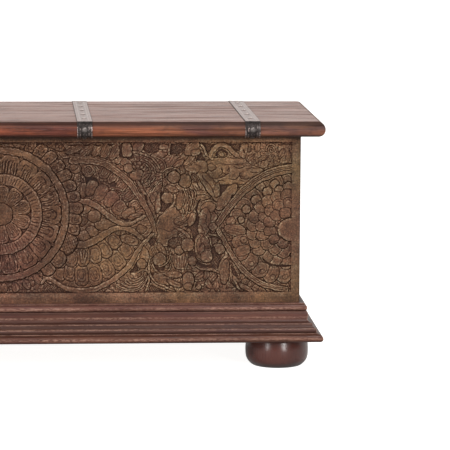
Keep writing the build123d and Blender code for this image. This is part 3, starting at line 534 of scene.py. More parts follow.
    # frames
    R.path([(72, 244.4), (84, 244.8), (92, 242.2), (99, 238.0), (105.8, 233.4), (113, 229.4), (121, 227.6), (129, 229.2),
            (136, 233.4), (142, 238.6)], 7.0, top=-0.08, ends=(1, 0.5), drop=1.3)
    R.path([(73, 201.8), (82.5, 201.4), (90.5, 203.0), (97, 206.8), (103.5, 211.8), (110, 217.2), (117, 221.8), (124, 224.0),
            (131, 223.2), (138, 220.4), (144.6, 216.2)], 6.0, top=-0.08, ends=(1, 0.45), drop=1.3)
    R.path([(72, 161.0), (84, 160.6), (94, 161.2), (104, 163.6), (112, 167.9), (120, 173.9), (128, 181.3), (134, 188.6),
            (139.2, 196.6), (144, 204.8), (148.3, 212.6), (151.8, 220.4), (154.4, 228.4), (155.6, 235)], 6.8, top=-0.08,
           lines=(-0.45, 0.1, 0.5), groove=1.3, lgw=0.45, ends=(1, 0.55), drop=1.3)
    # lower frame D, its left end waving up against the medallion
    R.path([(41.5, 283.4), (45.6, 279.0), (50.2, 279.2), (55.6, 282.8), (61.4, 286.6), (68, 289.2), (76, 290.6), (86, 290.5),
            (95.5, 289.0), (104, 285.4), (112.5, 280.2), (120.8, 274.4), (128.0, 267.4), (133.6, 259.4), (138.0, 250.8),
            (143.0, 243.6), (148.6, 238.4), (153.6, 234.2)], 7.0, top=-0.08, lines=(0.1, 0.5), groove=0.5, ends=(0.4, 0.4), drop=1.3)


def top_left(R):
    """Ribbed acanthus between the medallion, the top border and frame A."""
    R.leaf_mass([(60, 142), (118, 142), (123, 150), (130, 158), (118, 158), (104, 156.6), (88, 153.4), (74, 153.6), (66, 150)], 8, 2.5, level=-0.7,
                amp=1.4, bend=0.5, seed=81)
    for k, (u, v, ang, L, W) in enumerate([(74, 150.0, 20, 17, 6.6), (86.5, 150.6, 44, 15.5, 8.0), (97.4, 149.6, 60, 14.5, 8.6), (105.8, 150.4, 64, 15.5, 9.2),
                                           (114.8, 152.8, 56, 15, 8.4), (121.5, 160.0, 30, 13, 5.6)]):
        R.petal(u, v, ang, L, W, n=2.1, taper=-0.15, top=-0.4, ribs=0.9, rstep=2.0, tilt=0.5)
    for x0, x1, y in ((68.6, 76.0, 144.6), (84.0, 89.2, 144.5), (95.0, 100.2, 145.0), (108.0, 114.6, 144.6)):
        R.path([(x0, y), ((x0 + x1) / 2, y + 0.5), (x1, y)], 1.9, top=-5.0, drop=0.2, cut=1.4, ends=(0.4, 0.4))
    R.path([(64, 157.6), (76, 157.0), (88, 157.2), (99, 158.4), (108, 161.2), (115, 165.2)], 2.0, top=-0.7, drop=0.8, cut=2.4)
    R.curls([(0, 141), (60, 141), (66, 150), (60, 152), (46, 146), (30, 143), (0, 143)], level=-2.2, amp=1.6, size=3.2, seed=87)


def scrolls(R):
    """The foliage between the two leaf-shaped fields."""
    # upper strip: sunk stippled pockets
    R.ground([(131, 143.5), (134, 157), (128, 161), (120, 157), (119, 147), (122, 143.5)], -5.0, 0.3)
    R.ground([(143.0, 143.4), (161, 143.4), (162, 149), (157, 152), (148, 152.6), (142, 149)], -4.7, 0.9)
    R.ground([(170.4, 143.8), (187, 143.8), (184, 151), (177, 154.6), (170.4, 154.6)], -5.5, 0.9)
    R.ground([(196.5, 161.0), (198, 155), (201.6, 152.4), (205.4, 160.6)], -5.5, 0.8)
    R.ground([(198, 143.6), (217, 143.6), (211, 150), (207, 154)], -4.9, 0.9)
    R.ground([(227.6, 143.6), (241, 143.6), (241.6, 151), (232, 151)], -4.7, 0.9)
    # masses of ribbed leaf under the single pieces
    R.leaf_mass([(140, 153), (160, 153), (176, 156), (188, 154), (196, 158), (190, 168), (180, 170), (168, 168), (160, 176), (150, 176), (140, 170)], 40,
                2.6, level=-1.2, amp=1.2, seed=91)
    R.leaf_mass([(139, 174), (150, 170), (162, 174), (163, 186), (158, 196), (150, 200), (143, 190)], 52, 2.7, level=-0.8, amp=1.5, bend=0.6, seed=93)
    R.leaf_mass([(176, 186), (192, 182), (206, 184), (216, 200), (208, 204), (198, 214), (186, 222), (176, 214)], -78, 2.9, level=-0.9, amp=1.8,
                bend=-0.4, seed=95)
    R.leaf_mass([(170, 214), (190, 214), (196, 222), (186, 230), (172, 232)], 20, 2.3, level=-1.2, amp=1.6, seed=97)
    R.curls([(192, 272), (222, 273), (232, 284), (240, 292.6), (182, 292.6), (192, 290)], level=-1.0, amp=1.5, size=2.6, seed=99)
    for (u, v, ang, L, W) in [(199.4, 276.0, 40, 10, 5.2), (206.6, 275.4, 70, 9, 5.4), (213.0, 278.6, 60, 10, 5.0), (201.0, 284.4, 20, 10, 5.2), (208.8, 284.6, 110, 9.5, 5.6),
                              (216.4, 286.4, 80, 9, 5.0), (196.6, 289.4, 5, 9, 4.4), (205.6, 290.6, 0, 8, 3.4)]:
        R.petal(u, v, ang, L, W, n=2.0, top=-0.5, rib=0.6, cut=2.4, tilt=0.6, fibre=1.3)
    R.berry(198.9, 287.4, 2.6, top=-0.1, cut=3.0)
    # oval leaves at the top
    R.petal(126.8, 150.0, 96, 14.0, 9.4, n=2.4, top=-0.15, taper=0.1)
    R.petal(138.4, 147.4, 58, 13.0, 9.4, n=2.1, top=-0.2, taper=0.05)
    R.petal(164.6, 146.8, 4, 10, 4.6, n=2, taper=0.2, top=-0.35)
    R.petal(159.2, 155.2, 8, 15.6, 6.2, n=2, taper=0.15, top=-0.25)
    R.path([(169.6, 143.8), (169.4, 149), (169.2, 154.6)], 1.7, top=-0.1, drop=0.8, cut=3.0)
    # sweep of parallel ribs from the second leaf
    R.path([(133.2, 152.6), (139.6, 153.4), (146.6, 155.4), (152.4, 158.6), (157.0, 163.2), (160.0, 169.4)], 2.6, top=-0.1, drop=1.0, ends=(0.8, 0.4), cut=3.4)
    R.path([(142.6, 158.8), (147.6, 160.6), (151.6, 163.6), (154.6, 168.0), (156.0, 174.0)], 2.2, top=-0.3, drop=0.9, ends=(0.5, 0.5), cut=3.2)
    R.path([(142.0, 163.0), (146.4, 165.0), (149.6, 168.6), (151.0, 173.6)], 1.9, top=-0.5, drop=0.8, ends=(0.5, 0.5), cut=2.8)
    R.path([(156.4, 157.0), (161.6, 160.4), (165.0, 164.6), (166.0, 169.6)], 2.0, top=-0.5, drop=0.8, ends=(0.5, 0.5), cut=2.6)
    # lobes left of the sweep
    R.petal(119.6, 160.8, 8, 15, 4.8, n=2, top=-0.5, ribs=0.6, rstep=1.8)
    R.petal(126.6, 163.4, -30, 11, 7.6, n=2.2, top=-0.35)
    R.berry(128.6, 168.2, 4.7, top=-0.15)
    for a in range(0, 360, 72):
        R.berry(137.8 + 3.0 * math.cos(math.radians(a + 20)), 166.2 + 3.0 * math.sin(math.radians(a + 20)), 2.5, top=-0.5, cut=2.0)
    R.berry(137.8, 166.2, 2.2, top=-0.35, cut=1.6)
    R.petal(136.8, 176.4, -62, 10.4, 12.2, n=1.8, taper=0.42, top=-0.1)
    # curved dashes in the textured leaf
    for k, (x, y) in enumerate([(143.4, 183.6), (146.2, 187.4), (150.0, 190.4), (146.0, 179.6), (150.2, 183.0), (154.2, 186.0)]):
        R.path([(x, y), (x + 2.4, y - 2.2), (x + 5.2, y - 5.8)], 1.5, top=-0.1, drop=0.6, cut=3.0, ends=(0.4, 0.6))
    # smooth body beside frame A, with its feathered edge
    R.petal(154.4, 206.0, 68, 34, 13.0, n=1.9, top=-0.35, taper=0.05, drop=0.4, cut=0.6, fibre=1.1)
    R.petal(152.6, 198.6, 58, 15, 6.0, n=2.0, top=-0.3, drop=0.7, cut=1.4, moat=0.6, tilt=0.5)
    R.petal(157.2, 212.6, 72, 13, 5.4, n=2.0, top=-0.3, drop=0.7, cut=1.4, moat=0.6, tilt=0.5)
    R.path([(137.6, 181.6), (143.0, 190.2), (147.8, 199.2), (152.0, 208.2), (155.2, 216.6), (157.0, 224.0)], 4.4, top=-0.7,
           ticks=1.3, tstep=2.0, tslant=1.1, ends=(0.7, 0.5), drop=1.2)
    R.ground([(144.2, 194.4), (147.2, 195.6), (147.4, 202.6), (145.0, 199.6)], -5.0, 0.3, soft=0.6)
    # berry in its socket, the leaf left of it and the stem
    R.petal(158.4, 202.6, 80, 20, 6.0, n=2.0, top=-0.2, taper=0.15)
    R.ground([(160.6, 193.4), (164, 191.6), (164, 203), (171.6, 204.2), (172.0, 207.4), (166.0, 211.6), (160.4, 211.8)], -5.5, 0.8)
    R.berry(167.8, 198.4, 5.9, top=-0.05)
    R.path([(174.4, 195.4), (174.6, 200.2), (172.6, 205.6), (168.4, 210.8), (163.0, 215.4), (158.6, 220.6), (157.2, 226.6), (158.4, 233.0),
            (158.8, 240.0), (157.8, 246.4)], 2.9, top=-0.08, ends=(0.8, 0.6), drop=1.1, cut=4.0)
    R.petal(172.0, 189.0, -20, 12, 5.4, n=2.0, top=-0.5, rib=0.6)
    # broad plain leaf under the stem
    R.petal(168.8, 226.6, 74, 38, 19.5, n=2.2, taper=0.05, top=-0.2, drop=0.5, cut=2.0, fibre=0.55)
    R.petal(180.6, 220.6, 24, 12.5, 8.0, n=2.0, taper=0.1, top=-0.1, ribs=0.8, rstep=2.0, cut=2.4)
    R.path([(163.6, 229.0), (169.0, 231.4), (174.4, 229.6), (178.4, 225.6)], 0.9, top=-1.3, drop=0.3, cut=0.6, moat=0.5, ends=(0.3, 0.4))
    R.path([(164.4, 238.6), (170.4, 237.4), (176.0, 233.6)], 0.9, top=-1.3, drop=0.3, cut=0.6, moat=0.5, ends=(0.3, 0.4))
    # round flower and its neighbours
    R.path([(162.6, 172.4), (166.6, 168.8), (172.4, 168.0), (178.0, 170.4), (180.8, 174.6)], 2.6, top=-0.25, drop=1.0, ends=(0.5, 0.5))
    R.path([(165.4, 176.4), (167.2, 172.6), (171.0, 171.0)], 1.8, top=-0.5, drop=0.8, ends=(0.5, 0.5))
    R.berry(174.1, 177.3, 6.0, top=-0.05)
    R.petal(183.6, 157.4, 44, 17, 5.8, n=2.0, top=-0.15, rib=0.0)
    R.petal(178.4, 163.4, 36, 12, 5.4, n=2.0, top=-0.5, rib=0.7)
    R.petal(189.2, 160.8, 40, 13, 4.6, n=2.0, top=-0.5, rib=0.7)
    R.petal(182.6, 171.6, 100, 9.4, 4.4, n=2, top=-0.6)
    R.berry(185.4, 181.3, 6.3, top=-0.1, squash=1.08)
    # acanthus lobes rising to the top border
    R.petal(192.0, 148.4, 44, 16.5, 9.4, n=2.0, top=-0.2, ribs=0.55, rstep=2.4)
    R.petal(196.0, 152.4, 20, 8.5, 6.6, n=2.0, top=-0.15, cut=2.2)
    R.path([(200.6, 144.6), (204.0, 148.6), (206.6, 153.8), (209.6, 157.2)], 3.2, top=-0.3, ends=(0.5, 0.7))
    # spiral flower with its leaf
    R.path([(205.6, 157.8), (212.0, 158.6), (219.6, 159.6), (227.6, 158.6)], 3.0, top=-0.25, ends=(0.6, 0.5), drop=1.0)
    R.path([(210.6, 156.4), (212.4, 150.6), (216.6, 146.2), (222.4, 144.8), (228.2, 147.2), (232.6, 152.0), (238.2, 155.4), (244.4, 156.2)],
           5.4, top=-0.08, ends=(0.7, 0.6), drop=1.2)
    R.berry(221.8, 153.6, 5.6, top=-2.2, squash=0.72, cut=3.6)
    R.path([(217.4, 155.0), (218.2, 151.6), (221.6, 150.4), (225.4, 151.8), (226.8, 154.6)], 1.3, top=-5.0, drop=0.3, cut=1.2)
    R.berry(221.8, 154.4, 2.6, top=-0.4, cut=3.0, squash=0.8)
    R.petal(244.4, 150.6, 84, 13.6, 9.0, n=2.3, top=-0.15, taper=0.05)
    R.path([(243.6, 149.6), (244.8, 152.6)], 1.2, top=-2.6, drop=0.2, cut=0.8)
    # broad leaf that runs to the right, lobed
    R.petal(233, 163.0, 2, 52, 8.6, n=2.0, taper=0.1, top=-0.5)
    R.petal(248, 167.8, 4, 30, 9.0, n=2.0, top=-0.35, taper=0.1)
    R.petal(233.0, 175.0, 2, 46, 18.5, n=2.4, top=-0.15)
    R.petal(252.0, 173.0, 14, 22, 8.4, n=2.0, top=-0.3, taper=0.2)
    R.petal(217.4, 171.4, 14, 22, 12.6, n=2.1, top=-0.2, taper=-0.1, cut=2.0)
    R.petal(211.6, 167.4, 0, 9.6, 6.6, n=1.4, top=-0.3, cut=2.4, rib=0.6)
    for pts in ([(219.4, 176.0), (222.8, 172.8), (221.0, 169.0)], [(222.8, 172.8), (226.6, 174.4), (230.2, 172.6)], [(227.0, 170.6), (229.2, 168.2)],
                [(229.6, 179.2), (234.6, 179.4), (240.0, 176.6), (245.0, 176.8)], [(243.6, 181.2), (240.0, 180.0)],
                [(250.6, 171.8), (255.4, 172.8), (259.0, 172.0)], [(217.0, 182.6), (221.0, 180.2), (225.4, 181.6)],
                [(233.0, 166.8), (238.6, 168.0), (245.0, 166.6)]):
        R.path(pts, 0.9, top=-3.0, drop=0.3, cut=0.8, moat=0.6, ends=(0.4, 0.4))
    R.berry(200.8, 167.4, 6.9, top=-0.05)
    R.petal(193.4, 168.4, 3, 15.0, 7.6, n=1.6, taper=-0.34, top=-0.12, drop=0.5, cut=1.0, moat=0.6, fibre=0.3)
    # leaf with the sharp lower-left edge
    R.petal(209.4, 187.2, -50, 34, 15.0, n=1.8, taper=0.05, top=-0.2, rib=0.0)
    R.path([(202.0, 176.0), (208.6, 184.0), (214.8, 193.8)], 0.9, top=-1.8, drop=0.3, cut=0.7, moat=0.5)
    R.path([(208.0, 173.6), (213.4, 180.6), (217.0, 189.0)], 0.9, top=-1.8, drop=0.3, cut=0.7, moat=0.5)
    R.petal(217.6, 189.8, 84, 13.6, 6.0, n=2.0, taper=0.1, top=-0.1)
    R.ground([(220.2, 184.8), (231.4, 184.8), (226.4, 189.4), (222.6, 194.6), (220.0, 198.0), (220.0, 190)], -5.7, 0.4)
    R.petal(227.0, 197.0, 54, 30, 10.5, n=2.0, top=-0.25, taper=0.0)
    R.ground([(231.6, 194.6), (234.2, 194.4), (233.2, 199.4), (230.6, 201.4)], -4.8, 0.9, soft=0.6)
    R.path([(197.4, 175.0), (200.2, 180.4), (204.8, 188.2), (210.8, 196.6), (216.2, 202.2)], 1.25, top=-4.3, drop=0.2, cut=0.8, moat=0.6, ends=(0.3, 0.6))
    R.ground([(190.6, 173.6), (194.4, 172.2), (199.6, 180.6), (198, 184.0), (191.8, 180)], -4.0, 1.1)
    # ribs and small leaves under it
    for (u, v, ang, L, W) in [(192.0, 187.0, -44, 14, 4.6), (197.6, 188.6, -62, 12, 4.0), (201.6, 192.4, 6, 11, 4.4), (202.6, 198.2, 8, 13, 5.6),
                              (187.4, 189.6, -60, 12, 4.2)]:
        R.petal(u, v, ang, L, W, n=1.9, taper=0.15, top=-0.4, rib=0.7)
    R.berry(185.6, 181.2, 6.3, top=-0.02, squash=1.10, cut=5.0)
    R.berry(174.1, 177.3, 6.0, top=-0.02, cut=5.0)
    R.petal(180.2, 200.6, 82, 18, 7.6, n=2.0, top=-0.3)
    for (x, y, d) in [(183.4, 199.0, 13), (187.4, 197.0, 12), (190.4, 203.0, 15), (195.4, 194.6, 9), (194.6, 204.0, 12), (187.0, 208.6, 11), (183.0, 211.6, 9)]:
        R.path([(x - 1.0, y - d / 2), (x + 0.6, y - d / 6), (x + 0.4, y + d / 6), (x - 0.6, y + d / 2)], 2.1, top=-0.05, drop=0.9, cut=3.6, ends=(0.3, 0.4))
    R.path([(200.6, 199.6), (197.4, 204.6), (196.8, 211.4), (197.8, 218.0)], 1.9, top=-5.6, drop=0.2, cut=1.4, ends=(0.4, 0.8))
    R.ground([(196.2, 216), (198.8, 218.0), (198.6, 225), (196, 231), (192.6, 230), (185.5, 227.6), (190.6, 224.0)], -5.7, 0.6)
    R.petal(191.6, 219.6, 74, 13.5, 6.0, n=2.0, top=-0.25, rib=0.6)
    R.petal(213.0, 219.6, 60, 11, 6.0, n=2.0, top=-0.6, rib=0.6)
    R.berry(208.6, 207.6, 7.4, top=-0.15, squash=0.80, cut=4.4)
    R.petal(204.6, 222.4, 84, 27, 11.0, n=2.0, taper=-0.12, top=-0.15, drop=0.6, cut=3.4, fibre=0.5)
    R.path([(200.0, 213.0), (199.8, 207.6), (203.4, 202.6), (209.2, 200.8), (214.8, 203.2), (217.0, 207.4)],
           1.5, top=-0.05, ends=(0.4, 0.3), drop=0.7, cut=1.6, moat=0.6)
    R.path([(203.0, 213.4), (206.6, 215.6), (206.0, 221.6), (208.2, 228.0)], 0.9, top=-1.6, drop=0.3, cut=0.6, moat=0.5, ends=(0.3, 0.4))
    # lower half: stems, berries and buds
    R.leaf_mass([(140, 244), (152, 239), (160, 246), (160, 254), (152, 258), (144, 268), (134, 272), (130, 268)], 62, 2.6, level=-1.3, amp=1.3, seed=111)
    R.ground([(146.2, 239.0), (156.0, 238.6), (155.0, 244), (150.6, 247.0)], -4.6, 0.6, soft=0.7)
    R.petal(144.8, 255.0, 96, 16, 8.0, n=1.7, taper=0.3, top=-0.3)
    R.petal(154.2, 251.0, 60, 11.5, 9.0, n=2.0, top=-0.6, ribs=1.1, rstep=1.7)
    R.petal(161.8, 250.4, -68, 15, 6.0, n=2.0, top=-0.5, rib=0.6)
    R.curls([(167.6, 240.6), (173.6, 237.0), (181.4, 238.6), (182, 244.6), (177.4, 248.6), (169, 247)], level=-2.6, amp=1.6, size=1.9, seed=117, cut=3.4)
    R.path([(176.4, 228.6), (182.0, 230.4), (187.0, 234.6), (190.2, 240.4)], 4.0, top=-0.1, ends=(0.5, 0.8), lines=(0.15,), groove=0.8)
    R.ground([(189.8, 228.6), (197.4, 229.0), (200.0, 236.0), (196.0, 246.4), (192.8, 238)], -5.5, 0.4)
    R.petal(201.0, 231.0, 112, 12, 5.4, n=2.0, top=-0.4)
    R.petal(180.6, 261.0, 84, 17.0, 13.4, n=2.3, taper=-0.12, top=-0.35, ribs=1.2, rstep=2.4)
    R.path([(184.6, 249.4), (187.4, 256.0), (187.6, 263.4), (185.0, 269.6)], 2.0, top=-0.2, drop=0.9, ends=(0.5, 0.5), cut=3.0)
    R.berry(179.5, 250.4, 4.6, top=-0.25)
    R.berry(187.8, 245.0, 6.5, top=-0.05)
    R.ground([(188.0, 252.4), (193.4, 250.6), (195.0, 256.0), (190.4, 257.4)], -5.2, 0.6)
    R.berry(192.4, 261.0, 4.6, top=-0.15)
    R.ground([(194.6, 262), (198.6, 262.6), (205, 264.8), (212, 266.4), (219, 269.6), (211, 268.4), (203, 267.8), (197, 265.6)], -5.2, 0.4, soft=0.6)
    R.ground([(209.6, 262.4), (211.6, 247.6), (214.4, 246.6), (216.4, 252.0), (221.6, 254.6), (221.4, 262.4), (218.0, 268.8), (212.0, 267.4)], -5.6, 0.9)
    R.petal(202.4, 248.0, 98, 27, 14.6, n=2.0, taper=0.16, top=-0.5, drop=0.8, cut=4.0, moat=1.1, fibre=1.2)
    R.path([(200.0, 236.0), (196.8, 241.4), (195.8, 247.6), (197.2, 253.6), (200.6, 258.4), (204.4, 261.0)], 2.6, top=-0.15, drop=0.9, cut=2.6, ends=(0.4, 0.5))
    R.petal(205.6, 243.0, 112, 12.5, 7.6, n=2.0, top=-0.25, cut=2.2, tilt=0.6)
    R.petal(202.0, 249.4, 84, 9.5, 5.2, n=2.0, top=-0.5, cut=1.8)
    R.path([(203.6, 233.6), (206.6, 237.4), (209.4, 242.6)], 1.6, top=-0.2, drop=0.8, cut=2.4, ends=(0.4, 0.5))
    R.berry(206.8, 256.8, 5.9, top=-0.08)
    R.curls([(210.8, 236.4), (219.4, 237.4), (217.4, 243.8), (212.6, 246)], level=-3.0, amp=1.5, size=1.8, seed=121)
    R.path([(208.6, 233.8), (214.0, 234.6), (220.0, 237.2), (224.8, 241.8), (227.2, 248.4), (226.4, 255.0), (223.0, 260.4),
            (220.4, 266.6), (220.0, 274)], 2.8, top=-0.12, ends=(0.6, 0.9), drop=1.0, cut=3.6)
    R.berry(220.4, 249.2, 5.0, top=-0.15)
    R.path([(195.6, 266.6), (200.6, 269.0), (206.4, 270.2), (212.4, 270.2), (218.4, 273.0)], 3.2, top=-0.08, ends=(0.3, 0.6), drop=1.0, cut=4.2)
    R.petal(188.2, 281.0, 88, 16.0, 10.4, n=2.2, top=-0.15, cut=5.0, moat=1.3, fibre=1.1)
    R.berry(188.4, 286.6, 4.4, top=-0.1, cut=2.0)
    R.petal(225.0, 271.6, 84, 23, 8.6, n=2.1, top=-0.2, ribs=0.5, rstep=2.6)
    R.petal(232.8, 274.6, 100, 20, 4.8, n=2.0, top=-0.6, rib=0.6)
    R.ground([(231.6, 265.6), (234.0, 268), (239.4, 276.6), (236.4, 277.4), (232.0, 273.0)], -4.8, 0.6, soft=0.6)
    R.petal(238.4, 284.0, 122, 16, 5.5, n=2.0, top=-0.6, rib=0.6)
    R.petal(246.4, 288.2, 150, 16, 4.4, n=2.0, top=-0.6)
    # lower left: berries and feathered leaves under frame D
    R.curls([(112, 284), (126, 274), (138, 270), (150, 272), (158, 280), (172, 286), (176, 292.6), (104, 292.6)], level=-1.3, amp=1.8, size=2.8, seed=131)
    R.ground([(129.6, 273.6), (136.4, 263.0), (140.0, 258.6), (139.0, 266), (137.6, 271.6)], -5.3, 0.8)
    R.berry(141.8, 264.2, 4.7, top=-0.1)
    R.path([(137.6, 272.4), (141.6, 269.8), (146.6, 270.4), (149.6, 274.0)], 2.6, top=-0.2, drop=1.0, ends=(0.5, 0.8))
    for k in range(5):
        f = k / 4.0
        R.path([(118.6 + 9 * f, 286.0 - 9.6 * f), (127.4 + 5.4 * f, 289.4 - 9.2 * f), (137.0 + 2.0 * f, 288.0 - 9.4 * f), (145.0 - 1.4 * f, 281.6 - 7.0 * f)],
               2.2 + 0.8 * (k % 2), top=-0.7 - 0.25 * (k % 3), drop=1.3, ends=(0.3, 0.3), cut=1.4 + 0.6 * (k % 3))
    R.path([(116.6, 286.6), (124.0, 290.4), (133.6, 291.2), (142.0, 287.6), (146.6, 280.6), (148.6, 274.6)], 1.9, top=-0.3, drop=0.8, ends=(0.4, 0.6))
    R.ground([(151.6, 264.2), (154.8, 265.4), (159.6, 267.4), (165.6, 266), (164.0, 270.6), (157.0, 271.4), (153.0, 268.6)], -5.3, 0.9)
    R.berry(159.6, 259.8, 6.3, top=-0.08)
    R.path([(168.4, 247.6), (170.2, 253.6), (169.0, 259.6), (164.6, 265.2), (159.0, 267.0)], 2.4, top=-0.15, drop=0.9, ends=(0.4, 0.4), cut=3.6)
    R.path([(152.4, 264.4), (154.6, 269.4), (159.4, 273.6), (164.8, 273.4), (169.0, 269.6), (171.0, 264.6)], 2.2, top=-0.15, drop=0.9, ends=(0.5, 0.4))
    R.path([(150.4, 258.0), (148.6, 264.0), (149.0, 270.0)], 2.4, top=-0.4, ends=(0.4, 0.7))
    R.path([(148.6, 268.0), (149.6, 274.6), (149.0, 281.4), (145.6, 291.0)], 2.4, top=-0.08, ends=(0.8, 0.7), drop=1.0, cut=3.8)
    R.path([(150.4, 274.0), (154.0, 279.6), (160.4, 284.6), (168.4, 288.4), (174.4, 291.0)], 2.6, top=-0.15, ends=(0.9, 0.4), drop=1.0, cut=4.4)
    R.petal(163.6, 279.6, -22, 21, 8.6, n=1.9, top=-0.3)
    R.petal(173.4, 274.6, -4, 17, 6.0, n=2.0, top=-0.6, rib=0.6)
    R.petal(174.0, 283.6, -22, 14, 5.6, n=2.0, top=-0.5, rib=0.7)
    R.ground([(150.4, 284), (156.0, 286.6), (168.4, 292.4), (148.0, 292.4)], -4.2, 1.0)
    # under the medallion and left of frame D
    R.curls([(0, 283), (20, 281), (36, 273), (44, 274), (40, 284), (48, 286), (60, 293), (0, 293)], level=-1.9, amp=1.7, size=3.0, seed=141)
    for (u, v, ang, L, W) in [(47.6, 271.6, -40, 11, 7), (38.0, 279.6, -52, 11, 6), (27.0, 284.6, -62, 10, 6), (15.5, 287.6, -76, 9, 6), (4.0, 288.6, -88, 9, 6)]:
        R.petal(u, v, ang, L, W, n=2.0, top=-0.8, rib=0.8, tilt=0.5)
    R.ground([(45.4, 282.6), (50, 283.6), (56, 287.6), (64, 291.6), (72, 293.4), (42, 293.4), (42.6, 288.4)], -3.4, 1.2)


def right_field(R):
    """The half leaf-shaped field against the right border."""
    # above the upper frame: fine curls round one larger one
    R.curls([(249, 143), (292, 143), (292, 163), (278, 165), (262, 168), (252, 165), (246, 159)], level=-0.8, amp=1.25, size=2.2, seed=151, pits=0.9)
    R.leaf_mass([(278, 145), (292, 144), (292, 163), (280, 163)], 70, 2.0, level=-0.7, amp=0.8, seed=153)
    R.spiral(271.6, 149.0, 5.6, 1.3, 1.8, start=200, hand=-1, top=-0.6)
    for (u, v, ang, L, W) in [(257.4, 147.4, 70, 9, 4.6), (262.6, 158.6, 30, 10, 4.6), (281.6, 153.6, 60, 11, 5), (288.4, 156.4, 84, 12, 4.6), (251.0, 157.6, 40, 9, 4.2)]:
        R.petal(u, v, ang, L, W, n=2.0, top=-0.7, rib=0.6, cut=1.5)
    # floor of the field
    R.curls([(216, 227), (232, 206), (246, 189), (262, 178), (278, 173), (294, 171), (294, 290), (276, 288), (256, 281),
             (240, 266), (226, 246)], level=-2.2, amp=1.5, size=3.0, seed=161, cut=2.0)

    def scale(u, v, L, W, **k):
        """A lobe that points away from the half disc, over the one outside it."""
        ang = math.degrees(math.atan2(-(v - 229.8), u - 293.0))
        R.petal(u, v, ang, L * 1.04, W * 1.12, **dict(dict(n=2.3, top=-0.1, tilt=1.2, drop=0.9, cut=3.8, fibre=0.95), **k))

    # row 4: big petals and the left-hand leaves
    for (u, v, L, W) in [(284.6, 273.6, 17, 12.4), (271.4, 273.6, 17, 12.6), (260.4, 268.4, 18, 13.2), (249.4, 261.6, 16, 13.2), (240.6, 253.2, 14, 13.0)]:
        scale(u, v, L, W, rim=2.4, groove=0.7)
    for (u, v) in [(285.0, 276.8), (272.8, 277.0), (262.0, 271.6), (251.4, 264.0)]:
        R.petal(u, v, 200, 5.4, 4.4, n=2.0, top=-0.1, cut=1.6, moat=0.6)
    for (u, v, L, W) in [(287.8, 183.2, 19, 10.2), (275.4, 183.8, 18, 13.8), (262.4, 187.8, 18.5, 14.2), (252.6, 196.6, 18, 14.0), (243.8, 206.2, 16, 13.4),
                         (237.6, 216.4, 14, 12.2)]:
        scale(u, v, L, W, rim=2.1, groove=1.2, dish=0.5)
    # crescents and buds in row 3
    for (u, v, r) in [(274.4, 184.4, 4.6), (279.4, 190.0, 4.7), (260.6, 186.0, 4.4), (266.8, 192.2, 4.8), (256.2, 200.0, 5.0), (246.4, 209.4, 4.2), (241.0, 219.6, 3.6),
                      (288.4, 187.2, 5.4)]:
        x, y = u - 293.0, v - 229.8
        d = math.hypot(x, y)
        R.berry(u, v, r, top=-0.1, cut=4.4)
        R.path([(u + (x * 0.72 - y * 0.70) / d * r, v + (y * 0.72 + x * 0.70) / d * r), (u + x / d * (r + 0.3), v + y / d * (r + 0.3)),
                (u + (x * 0.72 + y * 0.70) / d * r, v + (y * 0.72 - x * 0.70) / d * r)], 1.5, top=-5.2, drop=0.2, cut=1.0, ends=(0.4, 0.4), moat=0.5)
    # left-hand leaves inside the point
    R.petal(230.6, 221.6, 60, 9, 7.4, n=2.1, top=-0.4, ribs=0.5)
    R.petal(235.4, 230.0, 172, 21, 10.6, n=2.1, top=-0.35, ribs=0.6, rstep=2.6)
    R.petal(242.4, 241.8, 188, 18.5, 12.6, n=2.2, top=-0.3, rim=2.2, groove=0.7)
    R.petal(243.4, 250.6, 205, 14, 9.8, n=2.1, top=-0.25, cut=2.4)
    R.berry(243.6, 240.0, 3.6, top=-0.2, cut=3.0, hole=0.9)
    # row 2, small round lobes
    for (u, v, r) in [(286.4, 262.2, 5.2), (275.4, 260.0, 5.4), (266.6, 255.6, 5.2), (259.0, 249.6, 5.0), (255.4, 241.6, 5.0), (253.4, 233.4, 5.0),
                      (253.4, 225.0, 5.0), (256.0, 216.4, 5.3), (261.4, 207.8, 5.2), (268.4, 201.6, 5.2), (277.8, 198.0, 5.2), (287.4, 195.6, 5.2)]:
        scale(u, v, 2.3 * r, 2.05 * r, top=-0.05)
    R.path([(262.6, 259.0), (268.6, 263.4), (276.0, 265.6), (283.6, 266.2), (291.0, 266.2)], 1.3, top=-5.2, drop=0.2, cut=1.2)
    # row 1 round the half disc
    for (u, v, L, W) in [(284.6, 250.4, 14.4, 11.4), (275.4, 247.6, 14.0, 10.8), (267.6, 243.4, 12.6, 10.2), (262.8, 235.6, 12.4, 8.6), (262.0, 226.4, 11.0, 8.8),
                         (264.6, 217.6, 11.0, 8.4), (271.0, 211.4, 11.4, 9.0), (279.8, 206.6, 12.4, 10.8), (288.8, 204.6, 12.0, 9.0)]:
        scale(u, v, L, W, rim=1.9, groove=0.7, top=-0.12)
    for (u, v, L, W) in [(270.0, 231.4, 10.6, 7.8), (269.6, 222.4, 10.4, 8.4), (276.4, 215.8, 10.4, 8.8), (285.4, 213.0, 9.6, 9.4), (274.2, 239.2, 9.4, 7.4),
                         (283.0, 243.6, 8.6, 8.6)]:
        scale(u, v, L, W, top=-0.3)
    # half disc on the border
    U, V = R.U, R.V
    q = np.hypot((U - 291.4) / 13.6, (V - 229.8) / 11.4)
    sl = R.win(274, 296, 214, 246)
    sd = (q - 1) * 12.5
    R.put(sl, sd[sl], R.crown(sd, -0.06, 1.0, 1.3)[sl], cut=4.6, moat=1.4)
